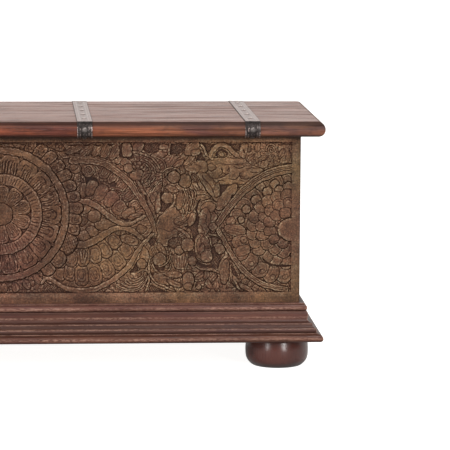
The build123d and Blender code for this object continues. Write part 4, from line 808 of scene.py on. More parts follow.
    # frames of the field
    up = [(212.6, 231.4), (217.6, 224.0), (223.4, 215.8), (229.4, 207.4), (236.0, 199.0), (243.4, 191.0), (252.0, 183.8), (261.6, 177.6),
          (271.6, 173.0), (281.0, 170.2), (291.6, 168.6), (294.5, 168.4)]
    R.path(up, 9.2, top=-0.08, lines=(-0.52, -0.14, 0.28), groove=1.7, lgw=0.5, drop=1.4, ends=(0.42, 1.0), cut=4.4, moat=1.1)
    lo = [(213.6, 224.4), (219.6, 232.4), (225.2, 242.4), (230.6, 252.2), (236.6, 261.6), (244.0, 270.6), (253.2, 278.8),
          (263.6, 284.4), (274.4, 287.6), (286, 289.4)]
    R.path(lo, 6.4, top=-0.1, lines=(-0.38, 0.26), groove=1.5, lgw=0.45, drop=1.3, ends=(0.5, 0.8), cut=4.2, moat=1.1)
    R.petal(212.8, 226.6, 0, 8, 7, n=1.6, top=-0.15)


def tone_patches(U, V):
    """Broad soft patches that make the carving darker or lighter: 1 is unchanged."""
    out = np.ones_like(U)
    wu = U + 7.0 * (value_noise(U / 9.0 + 3, V / 9.0 + 5, 301) - 0.5)
    wv = V + 7.0 * (value_noise(U / 9.0 + 43, V / 9.0 + 25, 302) - 0.5)
    for (u, v, ru, rv, amount) in [(120, 150, 50, 9, 0.10), (234, 162, 30, 17, 0.14), (88, 180, 12, 9, -0.20), (280, 181, 15, 10, -0.20),
                                   (181, 194, 13, 9, 0.17), (243, 248, 11, 15, -0.15), (88, 252, 15, 12, -0.11), (154, 272, 10, 8, 0.24),
                                   (8, 193, 10, 7, -0.17), (22, 167, 10, 8, -0.14), (7, 211, 9, 6, 0.18), (34, 208, 8, 9, 0.12)]:
        out = out + amount * np.exp(-((wu - u) / ru) ** 2 - ((wv - v) / rv) ** 2)
    return out


def carve(U, V):
    # the hand's wobble
    Uw = U + 1.1 * (value_noise(U / 6.0 + 11, V / 6.0 + 2, 201) - 0.5) + 0.75 * (value_noise(U / 2.1 + 5, V / 2.1 + 8, 202) - 0.5)
    Vw = V + 1.1 * (value_noise(U / 6.0 + 71, V / 6.0 + 32, 203) - 0.5) + 0.75 * (value_noise(U / 2.1 + 45, V / 2.1 + 28, 204) - 0.5)
    R = Relief(Uw, Vw)
    R.ucol, R.vrow = U[U.shape[0] // 2], V[:, V.shape[1] // 2]
    top_left(R)
    scrolls(R)
    right_field(R)
    mandorla(R)
    medallion(R)
    H = R.H
    live = 1.0 - R.calm
    # the hand's unevenness and fine tool marks
    turn = 6.0 * value_noise(U / 16, V / 16, 25)
    ca, sa = np.cos(turn), np.sin(turn)
    marks = value_noise((U * ca + V * sa) / 3.2 + 500, (V * ca - U * sa) / 0.9 + 500, 24) - 0.5
    coarse = smooth(0.30, 0.70, value_noise(U / 12, V / 12, 27))
    H = H + 0.6 * (value_noise(U / 9, V / 9, 21) - 0.5) + (0.2 + 0.35 * live) * (value_noise(U / 2.2, V / 2.2, 22) - 0.5) \
        + (0.20 + 0.40 * coarse) * (0.25 + 0.85 * live) * (value_noise(U / 0.95, V / 0.95, 23) - 0.5) \
        + 1.15 * marks * live * smooth(0.30, 0.65, value_noise(U / 11, V / 11, 26))
    return np.clip(H, -6.6, -0.02)

# ------------------------------------------------------------------ camera, floor and light
right, up, fwd = camera_axes()
cam_data = bpy.data.cameras.new("camera")
cam_data.sensor_width = 36.0
cam_data.lens = CAM["f"] * 36.0 / 450.0
cam_data.clip_end = 200.0
cam = bpy.data.objects.new("camera", cam_data)
scene.collection.objects.link(cam)
m = Matrix.Identity(4)
for i, axis in enumerate((right, up, -fwd)):
    for j in range(3):
        m[j][i] = axis[j]
    m[i][3] = CAM["pos"][i]
cam.matrix_world = m
scene.camera = cam


class Graph:
    """Short-hand for building a material's nodes."""

    def __init__(self, name):
        self.mat = bpy.data.materials.new(name)
        self.mat.use_nodes = True
        self.t = self.mat.node_tree
        self.t.nodes.clear()
        self.out = self.t.nodes.new("ShaderNodeOutputMaterial")
        self.geo = self.t.nodes.new("ShaderNodeNewGeometry")
        self.tc = self.t.nodes.new("ShaderNodeTexCoord")

    def put(self, socket, value):
        if isinstance(value, bpy.types.NodeSocket):
            self.t.links.new(value, socket)
        else:
            socket.default_value = value

    def add(self, kind, inputs=None, **props):
        n = self.t.nodes.new(kind)
        for k, v in props.items():
            setattr(n, k, v)
        for k, v in (inputs or {}).items():
            self.put(n.inputs[k], v)
        return n

    def math(self, op, a, b=None, c=None, clamp=False):
        n = self.add("ShaderNodeMath", operation=op, use_clamp=clamp)
        for i, v in enumerate((a, b, c)):
            if v is not None:
                self.put(n.inputs[i], v)
        return n.outputs[0]

    def mix(self, fac, a, b, blend="MIX"):
        n = self.add("ShaderNodeMix", data_type="RGBA", blend_type=blend)
        self.put(n.inputs[0], fac)
        for i, v in ((6, a), (7, b)):
            self.put(n.inputs[i], v if isinstance(v, bpy.types.NodeSocket) else (*v[:3], 1.0))
        return n.outputs[2]

    def ramp(self, fac, stops, interpolation="LINEAR"):
        n = self.add("ShaderNodeValToRGB")
        n.color_ramp.interpolation = interpolation
        els = n.color_ramp.elements
        while len(els) < len(stops):
            els.new(0.5)
        for e, (p, c) in zip(els, stops):
            e.position = p
            e.color = (c, c, c, 1.0) if isinstance(c, (int, float)) else (*c, 1.0)
        self.put(n.inputs[0], fac)
        return n.outputs[0]

    def coords(self, scale, offset=(0, 0, 0)):
        return self.add("ShaderNodeMapping", {"Vector": self.tc.outputs["Object"], "Scale": scale,
                                             "Location": offset}).outputs[0]

    def noise(self, vec, scale, detail=4.0, rough=0.55, distort=0.0):
        return self.add("ShaderNodeTexNoise", {"Vector": vec, "Scale": scale, "Detail": detail, "Roughness": rough,
                                               "Distortion": distort}).outputs["Fac"]

    def edge(self, radius=0.0022, low=0.04, high=0.32):
        """1 on outer edges, 0 on flat faces and in hollows."""
        bev = self.add("ShaderNodeBevel", {"Radius": radius}, samples=4).outputs[0]
        dot = self.add("ShaderNodeVectorMath", operation="DOT_PRODUCT")
        self.put(dot.inputs[0], bev)
        self.put(dot.inputs[1], self.geo.outputs["Normal"])
        return self.ramp(self.math("SUBTRACT", 1.0, dot.outputs["Value"]), [(low, 0.0), (high, 1.0)])

    def facing(self, axis=2):
        """The part's own surface direction along one axis, -1 to 1. It turns with the part."""
        return self.add("ShaderNodeSeparateXYZ", {"Vector": self.tc.outputs["Normal"]}).outputs[axis]

    def hollow(self, distance=0.02):
        """1 in hollows, 0 in the open."""
        ao = self.add("ShaderNodeAmbientOcclusion", {"Distance": distance}, samples=6)
        return self.math("SUBTRACT", 1.0, ao.outputs["AO"], clamp=True)

    def bump(self, height, strength, distance, normal=None):
        n = self.add("ShaderNodeBump", {"Strength": strength, "Distance": distance})
        self.put(n.inputs["Height"], height)
        if normal is not None:
            self.put(n.inputs["Normal"], normal)
        return n.outputs[0]

    def shader(self, **inputs):
        n = self.add("ShaderNodeBsdfPrincipled")
        for k, v in inputs.items():
            s = n.inputs[k.replace("_", " ")]
            self.put(s, (*v, 1.0) if isinstance(v, tuple) and len(v) == 3 and s.type == "RGBA" else v)
        self.t.links.new(n.outputs[0], self.out.inputs[0])
        return self.mat


def stretch(axis, along, across):
    return tuple(along if "XYZ"[i] == axis else across for i in range(3))


def wood(name, axis, dark, mid, light, seed=0.0, rough=(0.42, 0.6), coat=0.0, coat_rough=0.3, wear=0.5, dirt_and_shade=0.7,
         worn_and_highlight=(0.34, 0.22, 0.16), soil_and_shade=(0.035, 0.018, 0.012), bump=0.5, rings=0.35, blotch=None, shade_lines=(), highlight_lines=(), edge_radius=0.0022,
         spec=0.5, hollow=0.018, bleached_and_sheen=None, bleached_and_sheen_amount=0.0, arris_dark_reflection=0.0, under=0.0, cracks_and_lower_edge_light=0.0, patchy=0.0,
         below=None, fibres=1.0, inside=None):
    g = Graph(name)
    off = (seed * 1.7, seed * 2.3, seed * 3.1)
    broad = g.noise(g.coords(stretch(axis, 1.1, 11.0), off), 2.4, 6.0, 0.6, 0.5)
    band = g.noise(g.coords(stretch(axis, 0.55, 24.0), off), 2.2, 5.0, 0.62, 1.2)
    fibre = g.noise(g.coords(stretch(axis, 7.0, 260.0), off), 2.0, 4.0, 0.6)
    pores = g.noise(g.coords(stretch(axis, 16.0, 420.0), off), 2.4, 2.0, 0.5)
    cloud = g.noise(g.coords((3.2, 3.2, 3.2), off), 1.6, 4.0, 0.55)
    # growth lines, bent by the slow noise
    lift = g.math("MULTIPLY_ADD", band, 34.0, g.math("MULTIPLY", broad, 10.0))
    lines = g.math("MULTIPLY_ADD", g.math("SINE", lift), 0.5, 0.5)
    tone = g.math("ADD", g.math("MULTIPLY", broad, 0.62), g.math("MULTIPLY", band, 0.38))
    tone = g.math("MULTIPLY_ADD", g.math("SUBTRACT", lines, 0.5), rings * 0.22, tone)
    tone = g.math("MULTIPLY_ADD", g.math("SUBTRACT", cloud, 0.5), 0.30, tone)
    colour = g.ramp(tone, [(0.30, dark), (0.50, mid), (0.70, light)])
    if blotch is not None:
        patch = g.ramp(g.noise(g.coords((2.6, 2.6, 5.0), (off[1], off[2], off[0])), 1.3, 3.0, 0.5), [(0.44, 0.0), (0.62, 1.0)])
        colour = g.mix(g.math("MULTIPLY", patch, 0.6), colour, blotch)
    colour = g.mix(fibres, colour, g.ramp(fibre, [(0.30, 0.74), (0.52, 1.0), (0.72, 1.14)]), "MULTIPLY")
    fleck = g.ramp(pores, [(0.60, 0.0), (0.70, 1.0)])
    if cracks_and_lower_edge_light:
        mottle = g.noise(g.coords(stretch(axis, 30.0, 52.0), (off[0], off[2], off[1])), 1.0, 4.0, 0.6, 0.8)
        split = g.noise(g.coords(stretch(axis, 5.0, 150.0), (off[2], off[1], off[0])), 1.0, 3.0, 0.55)
        split = g.math("MULTIPLY", g.ramp(split, [(0.54, 0.0), (0.64, 1.0)]), cracks_and_lower_edge_light)
        streak = g.noise(g.coords(stretch(axis, 2.2, 62.0), (off[1], off[0], off[2])), 1.0, 4.0, 0.6)
    colour = g.mix(g.math("MULTIPLY", fleck, 0.5), colour, soil_and_shade)
    if patchy:
        stain = g.noise(g.coords(stretch(axis, 7.5, 36.0), (off[0] + 3.0, off[1], off[2])), 1.0, 3.0, 0.55, 0.4)
        colour = g.mix(patchy, colour, g.ramp(stain, [(0.36, (0.62, 0.60, 0.86)), (0.48, (0.96, 0.96, 0.98)), (0.64, (1.30, 1.46, 1.40))]), "MULTIPLY")
    if below is not None:
        # painted shade: the ogee darkened below the given height, on its lower, down-facing part
        sep = g.add("ShaderNodeSeparateXYZ", {"Vector": g.tc.outputs["Object"]}).outputs[2]
        colour = g.mix(1.0, colour, g.ramp(g.math("SUBTRACT", sep, below[0] - 0.5), [(0.4985, below[1]), (0.5005, 1.0)]), "MULTIPLY")
    # painted shade: dark lines at set heights on the mouldings, where coves and gaps fall into shade
    for axis_i, at, half in shade_lines:
        sep = g.add("ShaderNodeSeparateXYZ", {"Vector": g.tc.outputs["Object"]}).outputs[axis_i]
        gap = g.math("ABSOLUTE", g.math("SUBTRACT", sep, at))
        colour = g.mix(g.ramp(g.math("DIVIDE", gap, half), [(0.10, 0.52), (1.0, 0.0)]), colour, soil_and_shade)
    # painted highlights: broken light lines at set heights along the rounds of the mouldings, in the light worn colour
    if highlight_lines:
        highlight_glint = g.noise(g.coords(stretch(axis, 170.0, 520.0), off), 1.0, 3.0, 0.65)
        highlight_glint = g.math("MULTIPLY", g.ramp(highlight_glint, [(0.40, 0.05), (0.60, 1.0)]), g.ramp(g.noise(g.coords((9, 9, 9), off), 1.0, 3.0, 0.55), [(0.36, 0.25), (0.62, 1.0)]))
    for at, half, amount in highlight_lines:
        sep = g.add("ShaderNodeSeparateXYZ", {"Vector": g.tc.outputs["Object"]}).outputs[2]
        gap = g.math("DIVIDE", g.math("ABSOLUTE", g.math("SUBTRACT", sep, at)), half)
        colour = g.mix(g.math("MULTIPLY", g.math("MULTIPLY", g.ramp(gap, [(0.2, 1.0), (1.0, 0.0)]), highlight_glint), amount), colour, worn_and_highlight)
    if bleached_and_sheen is not None:
        # upward faces lightened: partly sun-bleached wood, partly a painted sheen where the top catches the studio's
        # reflection
        rub = g.noise(g.coords(stretch(axis, 1.3, 14.0), (off[2], off[0], off[1])), 2.0, 5.0, 0.6)
        top = g.math("MULTIPLY", g.ramp(g.facing(), [(0.90, 0.0), (0.985, 1.0)]), g.ramp(rub, [(0.30, 0.55), (0.65, 1.0)]))
        colour = g.mix(g.math("MULTIPLY", top, bleached_and_sheen_amount), colour, bleached_and_sheen)
    if cracks_and_lower_edge_light:
        colour = g.mix(1.0, colour, g.ramp(streak, [(0.36, 0.82), (0.50, 1.0), (0.64, 1.10)]), "MULTIPLY")
        colour = g.mix(1.0, colour, g.ramp(mottle, [(0.34, 0.70), (0.47, 1.0), (0.66, 1.12)]), "MULTIPLY")
        colour = g.mix(g.math("MULTIPLY", split, 0.55), colour, soil_and_shade)
    band = 0.0
    if arris_dark_reflection:
        # painted dark reflection: the upper curve of the rounded front edge is darkened
        band = g.ramp(g.facing(), [(0.18, 0.0), (0.60, 1.0), (0.95, 1.0), (0.992, 0.0)])
        band = g.math("MULTIPLY", band, g.ramp(g.math("ABSOLUTE", g.facing(0)), [(0.10, 1.0), (0.30, 0.25)]))
        colour = g.mix(g.math("MULTIPLY", band, arris_dark_reflection), colour, soil_and_shade)
    if cracks_and_lower_edge_light:
        # painted light: faces turned partly downward, the lower half of the rounded front edge, are brightened
        colour = g.mix(1.0, colour, g.ramp(g.math("MULTIPLY_ADD", g.facing(), 0.5, 0.5), [(0.08, 1.0), (0.18, 1.48), (0.47, 1.42), (0.56, 0.98), (0.64, 0.95)]), "MULTIPLY")
        far_out = g.math("ABSOLUTE", g.add("ShaderNodeSeparateXYZ", {"Vector": g.tc.outputs["Object"]}).outputs[0])
        colour = g.mix(g.ramp(g.facing(), [(0.80, 1.0), (0.97, 0.0)]), colour, g.ramp(far_out, [(0.04, (1.20, 0.90, 0.74)), (0.22, (0.95, 0.88, 0.84)), (0.35, (0.86, 0.87, 0.86)), (0.50, (0.94, 1.06, 1.10))]), "MULTIPLY")
    if under:
        # painted shade: faces that turn downward are darkened
        colour = g.mix(g.math("MULTIPLY", g.ramp(g.math("MULTIPLY", g.facing(), -1.0), [(0.50, 0.0), (0.88, 1.0)]), under), colour, soil_and_shade)
    if inside is not None:
        flat_under = g.ramp(g.math("MULTIPLY", g.facing(), -1.0), [(0.965, 0.0), (0.995, 1.0)])
        calm = g.mix(1.0, g.ramp(tone, [(0.30, inside[0]), (0.50, inside[1]), (0.70, inside[2])]), g.ramp(fibre, [(0.30, 0.82), (0.52, 1.0), (0.72, 1.08)]), "MULTIPLY")
        colour = g.mix(flat_under, colour, calm)
    worn_in = g.math("MULTIPLY", g.edge(edge_radius), g.ramp(g.noise(g.coords((60, 60, 60), off), 1.0, 4.0, 0.6), [(0.35, 0.1), (0.62, 1.0)]))
    colour = g.mix(g.math("MULTIPLY", worn_in, wear), colour, worn_and_highlight)
    # painted shade and dirt: the ambient-occlusion mask darkens hollows, creases and the gaps between parts towards the
    # dark soil colour
    low = g.hollow(hollow)
    colour = g.mix(g.math("MULTIPLY", g.ramp(low, [(0.25, 0.0), (0.85, 1.0)]), dirt_and_shade), colour, soil_and_shade)
    r = g.math("MULTIPLY_ADD", g.math("ADD", g.math("MULTIPLY", fibre, 0.5), g.math("MULTIPLY", cloud, 0.5)),
               (rough[1] - rough[0]) * 2.0, rough[0] - (rough[1] - rough[0]) * 0.5)
    r = g.math("ADD", r, g.math("MULTIPLY", low, 0.25), clamp=True)
    if arris_dark_reflection:
        r = g.math("MULTIPLY_ADD", band, 0.55, r, clamp=True)
    height = g.math("ADD", g.math("MULTIPLY", fibre, 0.6), g.math("MULTIPLY", fleck, -0.8))
    height = g.math("ADD", height, g.math("MULTIPLY", g.noise(g.coords((22, 22, 22), off), 1.0, 2.0, 0.5), 1.6))
    if cracks_and_lower_edge_light:
        height = g.math("ADD", height, g.math("MULTIPLY_ADD", streak, 1.6, g.math("MULTIPLY", split, -1.6)))
        r = g.math("ADD", r, g.math("MULTIPLY_ADD", split, 0.55, g.math("MULTIPLY_ADD", streak, -0.5, 0.25)), clamp=True)
    if inside is not None:
        r = g.math("ADD", g.math("MULTIPLY", r, g.math("SUBTRACT", 1.0, flat_under)), g.math("MULTIPLY", g.math("MULTIPLY_ADD", fibre, 0.25, 0.50), flat_under), clamp=True)
        height = g.math("MULTIPLY", height, g.math("MULTIPLY_ADD", flat_under, -0.7, 1.0))
    n = g.bump(height, bump, 0.00025)
    kw = {}
    if coat:
        kw = dict(Coat_Weight=coat, Coat_Roughness=coat_rough)
    return g.shader(Base_Color=colour, Roughness=r, Normal=n, Specular_IOR_Level=spec, **kw)


def metal(name, colour, dark, rough=(0.3, 0.55), worn_and_sheen_colour=(0.5, 0.48, 0.45), seed=0.0, attr=None, grime_and_shade=0.7, wear=0.7,
          metallic=1.0, upper=None):
    g = Graph(name)
    off = (seed, seed * 2.0, seed * 0.7)
    fine = g.noise(g.coords((420, 420, 420), off), 1.0, 3.0, 0.6)
    cloud = g.noise(g.coords((55, 55, 55), off), 1.0, 5.0, 0.6, 0.4)
    c = g.ramp(cloud, [(0.34, dark), (0.58, colour), (0.8, tuple(min(1, v * 1.25) for v in colour))])
    c = g.mix(g.ramp(fine, [(0.35, 0.35), (0.6, 0.0)]), c, dark)
    if upper is not None:
        # painted highlight: upward faces lightened
        c = g.mix(g.ramp(g.facing(), [(0.45, 0.0), (0.85, 1.0)]), c, upper)
        # painted shade: downward faces darkened
        c = g.mix(g.ramp(g.math("MULTIPLY", g.facing(), -1.0), [(0.35, 0.0), (0.75, 0.9)]), c, (0.012, 0.010, 0.009))
    if attr:
        a = g.add("ShaderNodeAttribute", attribute_name=attr).outputs["Fac"]
        # grime and painted shade: low values of the attribute (sunk parts, the strap's shaded curve and edge lines) go
        # dark
        c = g.mix(g.math("MULTIPLY", g.ramp(a, [(0.12, 1.0), (0.55, 0.0)]), grime_and_shade), c, dark)
        # wear and painted sheen: high values (raised lines and the pale flat top) take the light colour
        c = g.mix(g.math("MULTIPLY", g.ramp(a, [(0.66, 0.0), (0.95, 1.0)]), wear), c, worn_and_sheen_colour)
        height = g.math("ADD", g.math("MULTIPLY", fine, 0.5), cloud)
        r0 = g.math("MULTIPLY_ADD", a, -0.22, 0.12)
    else:
        c = g.mix(g.math("MULTIPLY", g.edge(0.0007, 0.05, 0.4), wear), c, worn_and_sheen_colour)
        # grime and painted shade: hollows darkened from the ambient-occlusion mask
        c = g.mix(g.math("MULTIPLY", g.ramp(g.hollow(0.004), [(0.3, 0.0), (0.9, 1.0)]), grime_and_shade), c, dark)
        height = g.math("ADD", g.math("MULTIPLY", fine, 0.5), cloud)
        r0 = 0.0
    r = g.math("MULTIPLY_ADD", cloud, rough[1] - rough[0], rough[0])
    r = g.math("ADD", r, r0, clamp=True)
    return g.shader(Base_Color=c, Roughness=r, Metallic=metallic, Normal=g.bump(height, 0.4, 0.00018))


WORLD_FRONT_LOW, WORLD_TOP, WORLD_BACK, WORLD_CEILING = 0.10, 1.36, 0.80, 0.30
# floor: one wide pale sheet
g = Graph("stage_floor")
grey = g.ramp(g.noise(g.coords((0.7, 0.7, 0.7)), 1.0, 2.0), [(0.3, (0.475, 0.472, 0.468)), (0.7, (0.487, 0.484, 0.480))])
FLOOR_SEEN, FLOOR_FILL = 0.94, 0.16
glow = g.math("MULTIPLY_ADD", g.add("ShaderNodeLightPath").outputs["Is Camera Ray"], FLOOR_SEEN - FLOOR_FILL, FLOOR_FILL)
floor_mat = g.shader(Base_Color=grey, Roughness=0.95, Specular_IOR_Level=0.1, Emission_Color=(1.0, 0.992, 0.98), Emission_Strength=glow)
floor_mesh = bpy.data.meshes.new("floor")
floor_mesh.from_pydata([(-40, -40, 0), (40, -40, 0), (40, 60, 0), (-40, 60, 0)], [], [(0, 1, 2, 3)])
floor_mesh.materials.append(floor_mat)
floor = bpy.data.objects.new("floor", floor_mesh)
scene.collection.objects.link(floor)
floor.location.z = -0.0002

# studio: a white dome, dimmer low down on the photographer's side
world = bpy.data.worlds.new("studio")
world.use_nodes = True
wt = world.node_tree
wt.nodes.clear()


def wnode(kind, **props):
    n = wt.nodes.new(kind)
    for k, v in props.items():
        setattr(n, k, v)
    return n


w_dir = wnode("ShaderNodeSeparateXYZ")
wt.links.new(wnode("ShaderNodeTexCoord").outputs["Generated"], w_dir.inputs[0])
w_low = wnode("ShaderNodeMapRange", interpolation_type="SMOOTHSTEP")
wt.links.new(w_dir.outputs[2], w_low.inputs["Value"])
for k, v in (("From Min", 0.10), ("From Max", 0.62), ("To Min", WORLD_FRONT_LOW), ("To Max", WORLD_TOP)):
    w_low.inputs[k].default_value = v
w_high = wnode("ShaderNodeMapRange", interpolation_type="SMOOTHSTEP")
wt.links.new(w_dir.outputs[2], w_high.inputs["Value"])
for k, v in (("From Min", 0.74), ("From Max", 0.90), ("To Min", 1.0), ("To Max", WORLD_CEILING)):
    w_high.inputs[k].default_value = v
w_back = wnode("ShaderNodeMapRange", interpolation_type="SMOOTHSTEP")
wt.links.new(w_dir.outputs[1], w_back.inputs["Value"])
for k, v in (("From Min", -0.25), ("From Max", 0.35), ("To Min", 0.0), ("To Max", 1.0)):
    w_back.inputs[k].default_value = v
w_mix = wnode("ShaderNodeMix", data_type="FLOAT")
wt.links.new(w_back.outputs[0], w_mix.inputs[0])
wt.links.new(w_low.outputs[0], w_mix.inputs[2])
w_mix.inputs[3].default_value = WORLD_BACK
w_bg = wnode("ShaderNodeBackground")
w_bg.inputs[0].default_value = (1.0, 0.985, 0.965, 1.0)
w_all = wnode("ShaderNodeMath", operation="MULTIPLY")
wt.links.new(w_mix.outputs[0], w_all.inputs[0])
wt.links.new(w_high.outputs[0], w_all.inputs[1])
w_seen = wnode("ShaderNodeMix", data_type="FLOAT")
wt.links.new(wnode("ShaderNodeLightPath").outputs["Is Camera Ray"], w_seen.inputs[0])
wt.links.new(w_all.outputs[0], w_seen.inputs[2])
w_seen.inputs[3].default_value = 1.02
wt.links.new(w_seen.outputs[0], w_bg.inputs[1])
wt.links.new(w_bg.outputs[0], wnode("ShaderNodeOutputWorld").inputs[0])
scene.world = world


def softbox(name, place, aim, size_x, size_y, power, colour=(1, 1, 1)):
    d = bpy.data.lights.new(name, "AREA")
    d.shape = "RECTANGLE"
    d.size, d.size_y = size_x, size_y
    d.energy = power
    d.color = colour
    o = bpy.data.objects.new(name, d)
    scene.collection.objects.link(o)
    o.location = place
    o.rotation_euler = (Vector(aim) - Vector(place)).to_track_quat("-Z", "Y").to_euler()
    return o


softbox("key", (-2.1, -3.0, 1.95), (0.1, 0.0, 0.25), 1.2, 1.0, 98, (1.0, 0.975, 0.94))
softbox("top", (1.05, -1.30, 2.8), (0.35, 0.0, 0.2), 0.75, 0.5, 34, (1.0, 0.99, 0.97))
softbox("strip_right", (1.62, -2.95, 0.60), (0.5, -0.1, 0.2), 0.34, 1.20, 38, (1.0, 0.98, 0.97))
softbox("strip_left", (-1.40, -2.50, 0.60), (0.5, -0.1, 0.2), 0.34, 1.20, 17, (1.0, 0.98, 0.97))

scene.view_settings.view_transform = "Standard"
scene.view_settings.look = "None"
scene.view_settings.exposure = 0.0
scene.view_settings.gamma = 1.0


# ------------------------------------------------------------------ meshes
def mesh_object(name, verts, faces, material, body, smooth=True):
    me = bpy.data.meshes.new(name)
    me.from_pydata(verts, [], faces)
    me.validate()
    me.materials.append(material)
    if smooth:
        me.shade_smooth()
    o = bpy.data.objects.new(name, me)
    scene.collection.objects.link(o)
    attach(o, body)
    return o


def gauss(a, sigma):
    k = int(3 * sigma) + 1
    w = np.exp(-np.arange(-k, k + 1) ** 2 / (2.0 * sigma * sigma))
    w /= w.sum()
    for ax in (0, 1):
        p = np.pad(a, [(k, k) if i == ax else (0, 0) for i in (0, 1)], mode="edge")
        out = np.zeros_like(a)
        for i, wi in enumerate(w):
            sl = [slice(None), slice(None)]
            sl[ax] = slice(i, i + a.shape[ax])
            out += wi * p[tuple(sl)]
        a = out
    return a


def carved_front(material):
    """The front board with its carving, as one closed solid in the plain board's own box."""
    step = 0.0008
    x_half, z0, z1 = 0.520, 0.138, 0.411
    X = np.arange(0, int(round(x_half / step)) + 1) * step
    Z = np.linspace(z0, z1, int(round((z1 - z0) / step)) + 1)
    GX, GZ = np.meshgrid(X, Z[::-1])
    U, V = to_pixels(GX, GZ)
    H = carve(U, V)[::-1]
    H = np.hstack([H[:, :0:-1], H])
    tint = tone_patches(U, V)[::-1]
    tint = np.pad(np.hstack([tint[:, :0:-1], tint]), ((3, 2), (2, 2)), mode="edge")
    Xf = np.concatenate([-X[:0:-1], X])
    # the carved field's edge: flush with the border
    FX, FZ = np.meshgrid(Xf, Z)
    wob = 0.35 * (value_noise(FX * 160 + 50, FZ * 160, 31) - 0.5) + 0.5 * (value_noise(FX * 45 + 50, FZ * 45, 33) - 0.5)
    H = np.minimum(H + 0.35 * wob, -0.03)
    rim = np.minimum(np.minimum(x_half - np.abs(FX), FZ - z0), z1 - FZ) * 1000
    H = H * smooth(0.0, 1.3, rim)
    (x0, y0, zb), (x1, y1, zt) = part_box("front_panel")
    xs = np.concatenate([[x0, x0 + 0.003], Xf, [x1 - 0.003, x1]])
    zs = np.concatenate([[zb, 0.120, 0.129], Z, [zt - 0.003, zt]])
    full = np.zeros((len(zs), len(xs)))
    full[3:-2, 2:-2] = H
    # cavity and depth of the relief, carried to the material for painted shade in the grooves and painted highlights on
    # the crests
    cav = np.clip((full - gauss(full, 1.3)) / 0.75, -1, 1) * 0.57 + np.clip((full - gauss(full, 5.5)) / 2.0, -1, 1) * 0.47
    cav = np.where(full > -0.06, cav * 0.3, cav)
    hgt = 1.0 + full / 6.0
    nz, nx = full.shape
    gx, gz = np.meshgrid(xs, zs)
    front = np.stack([gx, y0 - full / 1000.0, gz], -1).reshape(-1, 3)
    border = [(0, i) for i in range(nx)] + [(j, nx - 1) for j in range(1, nz)] + \
             [(nz - 1, i) for i in range(nx - 2, -1, -1)] + [(j, 0) for j in range(nz - 2, 0, -1)]
    b_idx = [j * nx + i for j, i in border]
    back = np.array([(front[k][0], y1, front[k][2]) for k in b_idx])
    verts = np.vstack([front, back])
    j, i = np.meshgrid(np.arange(nz - 1), np.arange(nx - 1), indexing="ij")
    a = (j * nx + i).ravel()
    quads = np.stack([a, a + 1, a + nx + 1, a + nx], -1)
    n0, nb = len(front), len(b_idx)
    k = np.arange(nb)
    kn = (k + 1) % nb
    bi = np.array(b_idx)
    sides = np.stack([bi[kn], bi[k], n0 + k, n0 + kn], -1)
    faces = [tuple(int(v) for v in q) for q in quads] + [tuple(int(v) for v in q) for q in sides]
    faces.append(tuple(int(n0 + v) for v in range(nb - 1, -1, -1)))
    o = mesh_object("front_panel_carved", verts.tolist(), faces, material, "case")
    me = o.data
    flat = np.ones(len(me.polygons), bool)
    flat[len(quads):] = False
    me.polygons.foreach_set("use_smooth", flat)
    for name, values in (("cav", cav), ("hgt", hgt), ("tone_patches", tint)):
        att = me.attributes.new(name, "FLOAT", "POINT")
        att.data.foreach_set("value", np.concatenate([values.ravel(), np.full(nb, 0.0 if name == "cav" else 1.0)]).astype(np.float32))
    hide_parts("front_panel")
    return o


